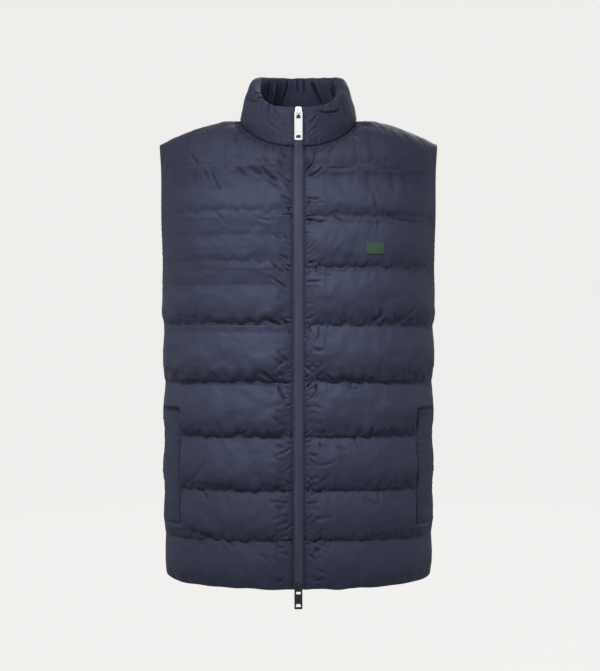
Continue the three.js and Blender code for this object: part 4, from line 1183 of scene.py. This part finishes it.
def build_topstitch():
    """A line of stitches up each front beside the zip and on up the collar."""
    centres, ways, ups = [], [], []
    for name, side in (("front_left", 1), ("front_right", -1)):
        panel_rows = halves[(name, side)]
        collar_rows = collar_points if side > 0 else collar_points[:, ::-1] * MIRROR
        line = [point_on_row(reach, row) for reach, row in zip(front.along, panel_rows)]
        line += [point_on_row(lengths_along(row), row) for row in collar_rows[1 : SIDE_STEPS - 1, :8]]
        line = np.array(line) * (side, 1, 1)
        places = spaced(line, STITCH_PITCH, STITCH_PITCH)
        at = between(line, places)
        out = np.array([ZIP_OUTS[np.abs(ZIP_POINTS[:, 2] - p[2]).argmin()] for p in at])
        centres.append(at + out * 0.1)
        ways.append(between(line, np.minimum(places + 0.3, len(line) - 1)) - between(line, places - 0.3))
        ups.append(out)
    joined_up = (np.concatenate(part) for part in (centres, ways, ups))
    return capsules("topstitch", *joined_up, STITCH_LENGTH, STITCH_RADIUS)


zip_band = build_zip_band()
zip_teeth = build_zip_teeth()
topstitch = build_topstitch()


# Pocket welts: padded strips laid on the fronts, a little above the panel's own cloth.
WELT_ROWS, WELT_COLUMNS = 84, 27


def build_welt(side):
    shares = np.linspace(*WELT_SHARES, WELT_COLUMNS)
    heights = np.linspace(*WELT_HEIGHTS, WELT_ROWS)
    base = np.array([torso_row(z, -1, shares) for z in heights])
    normal = grid_normals(base)
    if (normal * base)[..., 0].sum() < 0:
        normal = -normal
    across = lengths_along(base[0])[None] * np.ones((WELT_ROWS, 1))
    upward = heights[:, None] * np.ones((1, WELT_COLUMNS))
    from_side = np.minimum(across, across[:, -1:] - across)
    from_edge = np.minimum(from_side, np.minimum(upward - heights[0], heights[-1] - upward))
    pillow = 1.3 * np.sqrt(np.clip(1 - (1 - np.clip(from_edge / 9, 0, 1)) ** 2, 0, 1))
    rng = np.random.default_rng(83 + side)
    field = np.zeros(across.shape)
    for edge, way in ((0.0, 1), (float(across[0, -1]), -1)):
        at = heights[0] + 5
        while at < heights[-1] - 3:
            length = rng.uniform(6, 20)
            far = (edge + way * length, at + rng.normal(0.4, 0.5) * length)
            drawn_crease(field, across, upward, rng, (edge, at), far, (0.25, 0.8), (1.2, 2.2), 1)
            at += rng.uniform(7, 16)
    field += 0.3 * noise(across, upward, 30, 91 + side) + 0.12 * noise(across, upward, 8, 95 + side)
    # A line of stitching holds the strip's front edge and both its ends.
    field -= 0.35 * np.exp(-(((from_edge - 2.4) / 0.7) ** 2))
    lift = SEAM + LOFT_UNDER_WELT + 0.35
    high = base + normal * (lift + 0.8 + pillow + field * smooth(0, 2, from_edge))[..., None]
    low = base + normal * lift
    if side < 0:
        high, low = mirrored(high), mirrored(low)
    made = wall("left_welt_cloth" if side > 0 else "right_welt_cloth", high, low, WELT_STEP, 0.35)
    add_cloth_place(made, across, upward, field, side)
    return made


pieces["pocket_welt_left"] = build_welt(1)
pieces["pocket_welt_right"] = build_welt(-1)


# Patch: a small plain badge of woven cloth with a stitched border, laid on the chest.
def chest_surface(x, z):
    """The chest's height at places on it, smoothed a little."""
    near = halves[("front_left", 1)].reshape(-1, 3)
    beside = (np.abs(near[:, 0] - PATCH_X) < 26) & (np.abs(near[:, 2] - PATCH_Z) < 22)
    near = near[beside & (near[:, 1] < -60)]
    weight = np.exp(-((x[..., None] - near[:, 0]) ** 2 + (z[..., None] - near[:, 2]) ** 2) / (2 * 3.0**2))
    return (weight * near[:, 1]).sum(-1) / weight.sum(-1)


# The border stands above the patch's top by as much as its outermost edge drops below it.
PATCH_TOP, PATCH_UNDERSIDE, PATCH_BORDER = 1.15, 0.25, 0.25
PATCH_ROUNDING = 0.22


def patch_ring(turn, across, up, height):
    """Points at angles round a rounded outline of that half size, at a height over the chest."""
    c, s = np.cos(turn), np.sin(turn)
    x = PATCH_X + np.sign(c) * np.abs(c) ** PATCH_ROUNDING * across
    z = PATCH_Z + np.sign(s) * np.abs(s) ** PATCH_ROUNDING * up
    return np.stack([x, chest_surface(x, z) - height, z], 1)


def build_patch():
    count = 96
    turn = np.linspace(0, math.tau, count + 1)[:-1]
    levels = []
    for scale in (0, 0.2, 0.4, 0.6, 0.75, 0.84, 0.9, 0.95, 0.985, 1.0):
        border = PATCH_BORDER * math.exp(-(((scale - 0.93) / 0.035) ** 2))
        levels.append((scale, PATCH_TOP + border - (PATCH_BORDER if scale >= 0.985 else 0)))
    levels += [(1.0, PATCH_UNDERSIDE), (0.5, PATCH_UNDERSIDE)]
    points = [patch_ring(turn, PATCH_WIDTH / 2 * k, PATCH_HEIGHT / 2 * k, height) for k, height in levels]
    underside = [(len(points) - 1) * count + i for i in range(count)]
    made = new_object("chest_badge", np.concatenate(points), [*tube_faces(len(points), count), underside])
    soften(made, 50)
    return made


# How far in from the patch's edge its stitches lie, and their spacing.
PATCH_STITCH_IN, PATCH_STITCH_PITCH = 1.9, 1.55


def build_patch_stitches():
    last = 720
    turn = np.linspace(0, math.tau, last + 1)
    line = patch_ring(turn, PATCH_WIDTH / 2 - PATCH_STITCH_IN, PATCH_HEIGHT / 2 - PATCH_STITCH_IN, 1.2)
    places = spaced(line, PATCH_STITCH_PITCH)
    at = between(line, places)
    ways = between(line, np.minimum(places + 0.5, last)) - between(line, np.maximum(places - 0.5, 0))
    return capsules("badge_stitches", at, ways, np.tile([0.0, -1, 0], (len(at), 1)), 1.15, 0.2)


patch = build_patch()
patch_stitches = build_patch_stitches()


# Materials.
def new_material(name, colour, roughness, more):
    """A material and its shader, with more of the shader's own settings by name."""
    made = bpy.data.materials.new(name)
    made.use_nodes = True
    shader = made.node_tree.nodes["Principled BSDF"]
    for key, value in {"Base Color": (*colour, 1), "Roughness": roughness, **more}.items():
        shader.inputs[key].default_value = value
    return made, shader


def add_node(material, kind, **values):
    node = material.node_tree.nodes.new(kind)
    for key, value in values.items():
        if key in node.inputs:
            node.inputs[key].default_value = value
        else:
            setattr(node, key, value)
    return node


def link(material, source, target):
    material.node_tree.links.new(source, target)


def object_place(material):
    return add_node(material, "ShaderNodeTexCoord").outputs["Object"]


def stretched(material, vector, scale):
    """A place on the object, with each axis scaled."""
    node = add_node(material, "ShaderNodeVectorMath", operation="MULTIPLY")
    link(material, vector, node.inputs[0])
    node.inputs[1].default_value = scale
    return node.outputs["Vector"]


def noise_at(material, vector, scale, detail=3.0):
    node = add_node(material, "ShaderNodeTexNoise", Scale=scale, Detail=detail, Roughness=0.6)
    link(material, vector, node.inputs["Vector"])
    return node.outputs["Fac"]


def added(material, one, two):
    node = add_node(material, "ShaderNodeMath", operation="ADD")
    link(material, one, node.inputs[0])
    link(material, two, node.inputs[1])
    return node.outputs[0]


def ranged(material, value, low, high, new_low, new_high):
    ends = {"From Min": low, "From Max": high, "To Min": new_low, "To Max": new_high}
    node = add_node(material, "ShaderNodeMapRange", **ends)
    link(material, value, node.inputs["Value"])
    return node.outputs["Result"]


def two_tones(material, share, colour, spread):
    """A colour that runs from a little darker to a little lighter."""
    mix = add_node(material, "ShaderNodeMix", data_type="RGBA")
    link(material, share, mix.inputs["Factor"])
    tones = [socket for socket in mix.inputs if socket.type == "RGBA"]
    tones[0].default_value = (*[c * (1 - spread) for c in colour], 1)
    tones[1].default_value = (*[c * (1 + spread) for c in colour], 1)
    return next(socket for socket in mix.outputs if socket.type == "RGBA")


def toned(material, shader, share, colour, spread):
    link(material, two_tones(material, share, colour, spread), shader.inputs["Base Color"])


def bumped(material, shader, height, strength, distance):
    bump = add_node(material, "ShaderNodeBump", Strength=strength, Distance=distance)
    link(material, height, bump.inputs["Height"])
    link(material, bump.outputs["Normal"], shader.inputs["Normal"])


# The tint of the shine on the cloth and the tape.
BLUISH = (0.6, 0.65, 1.0, 1)


# Shell cloth: fine woven nylon, with faint streaks along its two threads, a broad bluish shine and painted
# shade in its creases.
def make_shell_cloth():
    colour = (0.038, 0.0432, 0.0768)
    sheen = {"Sheen Weight": 0.04, "Sheen Roughness": 0.35}
    shine = {"Specular IOR Level": 0.8, "Specular Tint": BLUISH}
    made, shader = new_material("shell_cloth", colour, 0.68, {**sheen, **shine})
    where = add_node(made, "ShaderNodeAttribute", attribute_name="cloth_place").outputs["Vector"]
    across = noise_at(made, stretched(made, where, (0.16, 1.5, 1)), 0.55)
    upward = noise_at(made, stretched(made, where, (1.5, 0.16, 1)), 0.55)
    cloud = noise_at(made, where, 0.03, 2.0)
    total = added(made, added(made, across, upward), cloud)
    tone = two_tones(made, ranged(made, total, 0.9, 2.1, 0, 1), colour, 0.14)
    # Painted shade: the cloth's colour is darkened down in its creases and seam grooves.
    crease_shade = add_node(made, "ShaderNodeAttribute", attribute_name="crease_shade").outputs["Fac"]
    dark = add_node(made, "ShaderNodeVectorMath", operation="SCALE")
    link(made, tone, dark.inputs[0])
    link(made, ranged(made, crease_shade, 0, 1, 1, 0.4), dark.inputs["Scale"])
    link(made, dark.outputs["Vector"], shader.inputs["Base Color"])
    bumped(made, shader, noise_at(made, where, 0.9, 4.0), 0.35, 0.00022)
    return made


# Zip tape: a coated tape with a fine cross rib.
def make_zip_tape():
    colour = (0.068, 0.076, 0.118)
    shine = {"Specular IOR Level": 0.35, "Specular Tint": BLUISH}
    made, shader = new_material("zip_tape", colour, 0.56, shine)
    where = object_place(made)
    along = noise_at(made, stretched(made, where, (400, 400, 18)), 1.0)
    toned(made, shader, ranged(made, along, 0.3, 0.7, 0, 1), colour, 0.16)
    rib = add_node(made, "ShaderNodeTexWave", Scale=1.0, Distortion=1.2, Detail=1.0)
    rib.bands_direction = "Z"
    link(made, stretched(made, where, (300, 300, 420)), rib.inputs["Vector"])
    bumped(made, shader, rib.outputs["Fac"], 0.3, 0.0001)
    return made


# Thread: two tones that follow each twisted strand.
def make_thread(name, colour, roughness):
    made, shader = new_material(name, colour, roughness, {})
    where = object_place(made)
    strand = noise_at(made, stretched(made, where, (1500, 1500, 700)), 1.0, 2.0)
    toned(made, shader, ranged(made, strand, 0.3, 0.7, 0, 1), colour, 0.3)
    bumped(made, shader, strand, 0.3, 0.0001)
    return made


# Zip teeth: moulded plastic, a little unevenly polished.
def make_teeth():
    colour = (0.05, 0.055, 0.085)
    made, shader = new_material("zip_teeth", colour, 0.35, {})
    where = object_place(made)
    patches = noise_at(made, where, 700.0)
    toned(made, shader, patches, colour, 0.12)
    link(made, ranged(made, patches, 0.3, 0.7, 0.28, 0.42), shader.inputs["Roughness"])
    return made


# Patch cloth: a close twill that runs up to the right.
def make_patch_cloth():
    colour = (0.045, 0.1, 0.07)
    made, shader = new_material("patch_cloth", colour, 0.65, {"Sheen Weight": 0.2})
    where = object_place(made)
    twill = add_node(made, "ShaderNodeTexWave", Scale=1.0, Distortion=0.8, Detail=1.0)
    twill.bands_direction = "DIAGONAL"
    link(made, stretched(made, where, (330, 0, -330)), twill.inputs["Vector"])
    mottle = noise_at(made, where, 260.0)
    total = added(made, twill.outputs["Fac"], mottle)
    toned(made, shader, ranged(made, total, 0.3, 1.7, 0, 1), colour, 0.22)
    bumped(made, shader, twill.outputs["Fac"], 0.4, 0.00015)
    return made


# Metal: cast and tumbled, so its shine varies a little and a few fine scratches run along it.
def make_metal(name, colour, roughness, coat):
    made, shader = new_material(name, colour, roughness, {"Metallic": 1.0, **coat})
    where = object_place(made)
    scratches = noise_at(made, stretched(made, where, (2600, 2600, 130)), 1.0, 4.0)
    patches = noise_at(made, where, 160.0)
    toned(made, shader, patches, colour, 0.05)
    shine = added(made, scratches, patches)
    link(made, ranged(made, shine, 0.7, 1.3, roughness * 0.75, roughness * 1.25), shader.inputs["Roughness"])
    bumped(made, shader, scratches, 0.08, 0.00005)
    return made


shell_cloth = make_shell_cloth()
tape_cloth = make_zip_tape()
# The topstitch thread is darker than the cloth: partly its own colour, partly painted shade of the needle
# holes it sits in.
thread = make_thread("thread", (0.01, 0.0115, 0.019), 0.7)
teeth_plastic = make_teeth()
patch_cloth = make_patch_cloth()
patch_thread = make_thread("patch_thread", (0.035, 0.08, 0.055), 0.6)
bright_metal = make_metal("bright_metal", (0.8, 0.8, 0.82), 0.22, {})
# The bottom slider and pull are the same polished metal as the top ones, in a dark copy whose dark colour is
# painted reflection. It has a glossy clear lacquer.
LACQUER = {"Coat Weight": 1.0, "Coat Roughness": 0.06}
dark_metal = make_metal("dark_metal", (0.06, 0.055, 0.052), 0.18, LACQUER)


def finish_piece(made, material, body, nodes=()):
    made.data.materials.append(material)
    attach(made, body)
    if nodes:
        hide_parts(*nodes)


for node, made in pieces.items():
    finish_piece(made, shell_cloth, "vest", (node,))
finish_piece(zip_band, tape_cloth, "vest", ("zip_tape_left", "zip_tape_right"))
finish_piece(zip_teeth, teeth_plastic, "vest")
finish_piece(topstitch, thread, "vest")
finish_piece(patch, patch_cloth, "vest", ("chest_patch",))
finish_piece(patch_stitches, patch_thread, "vest")

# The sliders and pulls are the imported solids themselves, with their edges softened.
for node, metal in (
    ("slider_top", bright_metal),
    ("pull_top", bright_metal),
    ("slider_bottom", dark_metal),
    ("pull_bottom", dark_metal),
):
    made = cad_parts[node]
    made.data.materials.clear()
    made.data.materials.append(metal)
    bevel = made.modifiers.new("bevel", "BEVEL")
    bevel.width = 0.0007 if node.startswith("pull") else 0.0003
    bevel.segments = 3
    bevel.limit_method = "ANGLE"
    bevel.angle_limit = math.radians(35)
    bevel.harden_normals = True

# Stage: a pale floor that sweeps up all round into a backdrop.
FLOOR, FLOOR_RADIUS, SWEEP_RADIUS, BACKDROP_TOP, SIDES = -900.0, 3000.0, 1200.0, 3400.0, 64
GLOW = {"Specular IOR Level": 0.1, "Emission Color": (1.0, 0.99, 0.972, 1), "Emission Strength": 0.845}
stage_material, _ = new_material("backdrop", (0.05, 0.0496, 0.0488), 0.9, GLOW)
profile = [(0.0, 0.0), (2000.0, 0.0)]
for turn in np.linspace(0, math.pi / 2, 12):
    profile.append((FLOOR_RADIUS + SWEEP_RADIUS * math.sin(turn), SWEEP_RADIUS * (1 - math.cos(turn))))
profile.append((FLOOR_RADIUS + SWEEP_RADIUS, BACKDROP_TOP))
around = np.linspace(0, math.tau, SIDES, endpoint=False)
stage_points = [(r * math.cos(a), r * math.sin(a), FLOOR + h) for r, h in profile for a in around]
sweep = new_object("sweep", stage_points, tube_faces(len(profile), SIDES))
sweep.data.shade_smooth()
sweep.data.materials.append(stage_material)
# Only the camera sees the sweep's light: it isn't thrown on the cloth or mirrored in the metal.
sweep.visible_diffuse = False
sweep.visible_glossy = False

# Light: two soft beams from the upper left of the front, a card before the zip, a small beam into the collar
# and panels at the sides and back, over a dim even surround.
world = bpy.data.worlds.new("surround")
world.use_nodes = True
world.node_tree.nodes["Background"].inputs["Color"].default_value = (1.0, 0.995, 0.985, 1)
world.node_tree.nodes["Background"].inputs["Strength"].default_value = 0.29
bpy.context.scene.world = world


def aimed(data, place, target):
    made = bpy.data.objects.new(data.name, data)
    bpy.context.scene.collection.objects.link(made)
    made.location = place
    way = np.array(target) - np.array(place)
    made.rotation_euler = (math.atan2(math.hypot(way[0], way[1]), -way[2]), 0, math.atan2(-way[0], way[1]))
    made.visible_camera = False
    return made


def beam(name, place, target, radius, watts, cone):
    data = bpy.data.lights.new(name, "SPOT")
    data.energy = watts
    data.shadow_soft_size = radius
    data.spot_size = math.radians(cone)
    data.spot_blend = 1.0
    return aimed(data, place, target)


def panel(name, place, target, size, watts):
    data = bpy.data.lights.new(name, "AREA")
    data.shape = "DISK"
    data.size = size
    data.energy = watts
    return aimed(data, place, target)


beam("left_key", (-0.36, -1.45, 1.18), (-0.12, -0.1, -0.35), 0.2, 95, 19)
beam("right_key", (-0.36, -1.45, 1.18), (0.1, -0.1, -0.295), 0.2, 81, 17.6)
panel("card", (0, -2.2, 1.2), (0, 0, -0.05), 0.9, 1.9)
beam("collar_light", (-1.3, -1.9, 0.95), (0, 0.03, 0.078), 0.12, 240, 3.9)
panel("left_fill", (-2.2, 0.5, 0.1), (0, 0, -0.3), 1.2, 3.5)
panel("right_fill", (2.2, 0.5, 0.1), (0, 0, -0.3), 1.2, 3.5)
panel("back_fill", (0.6, 2.2, 1.2), (0, 0, -0.3), 1.4, 26)
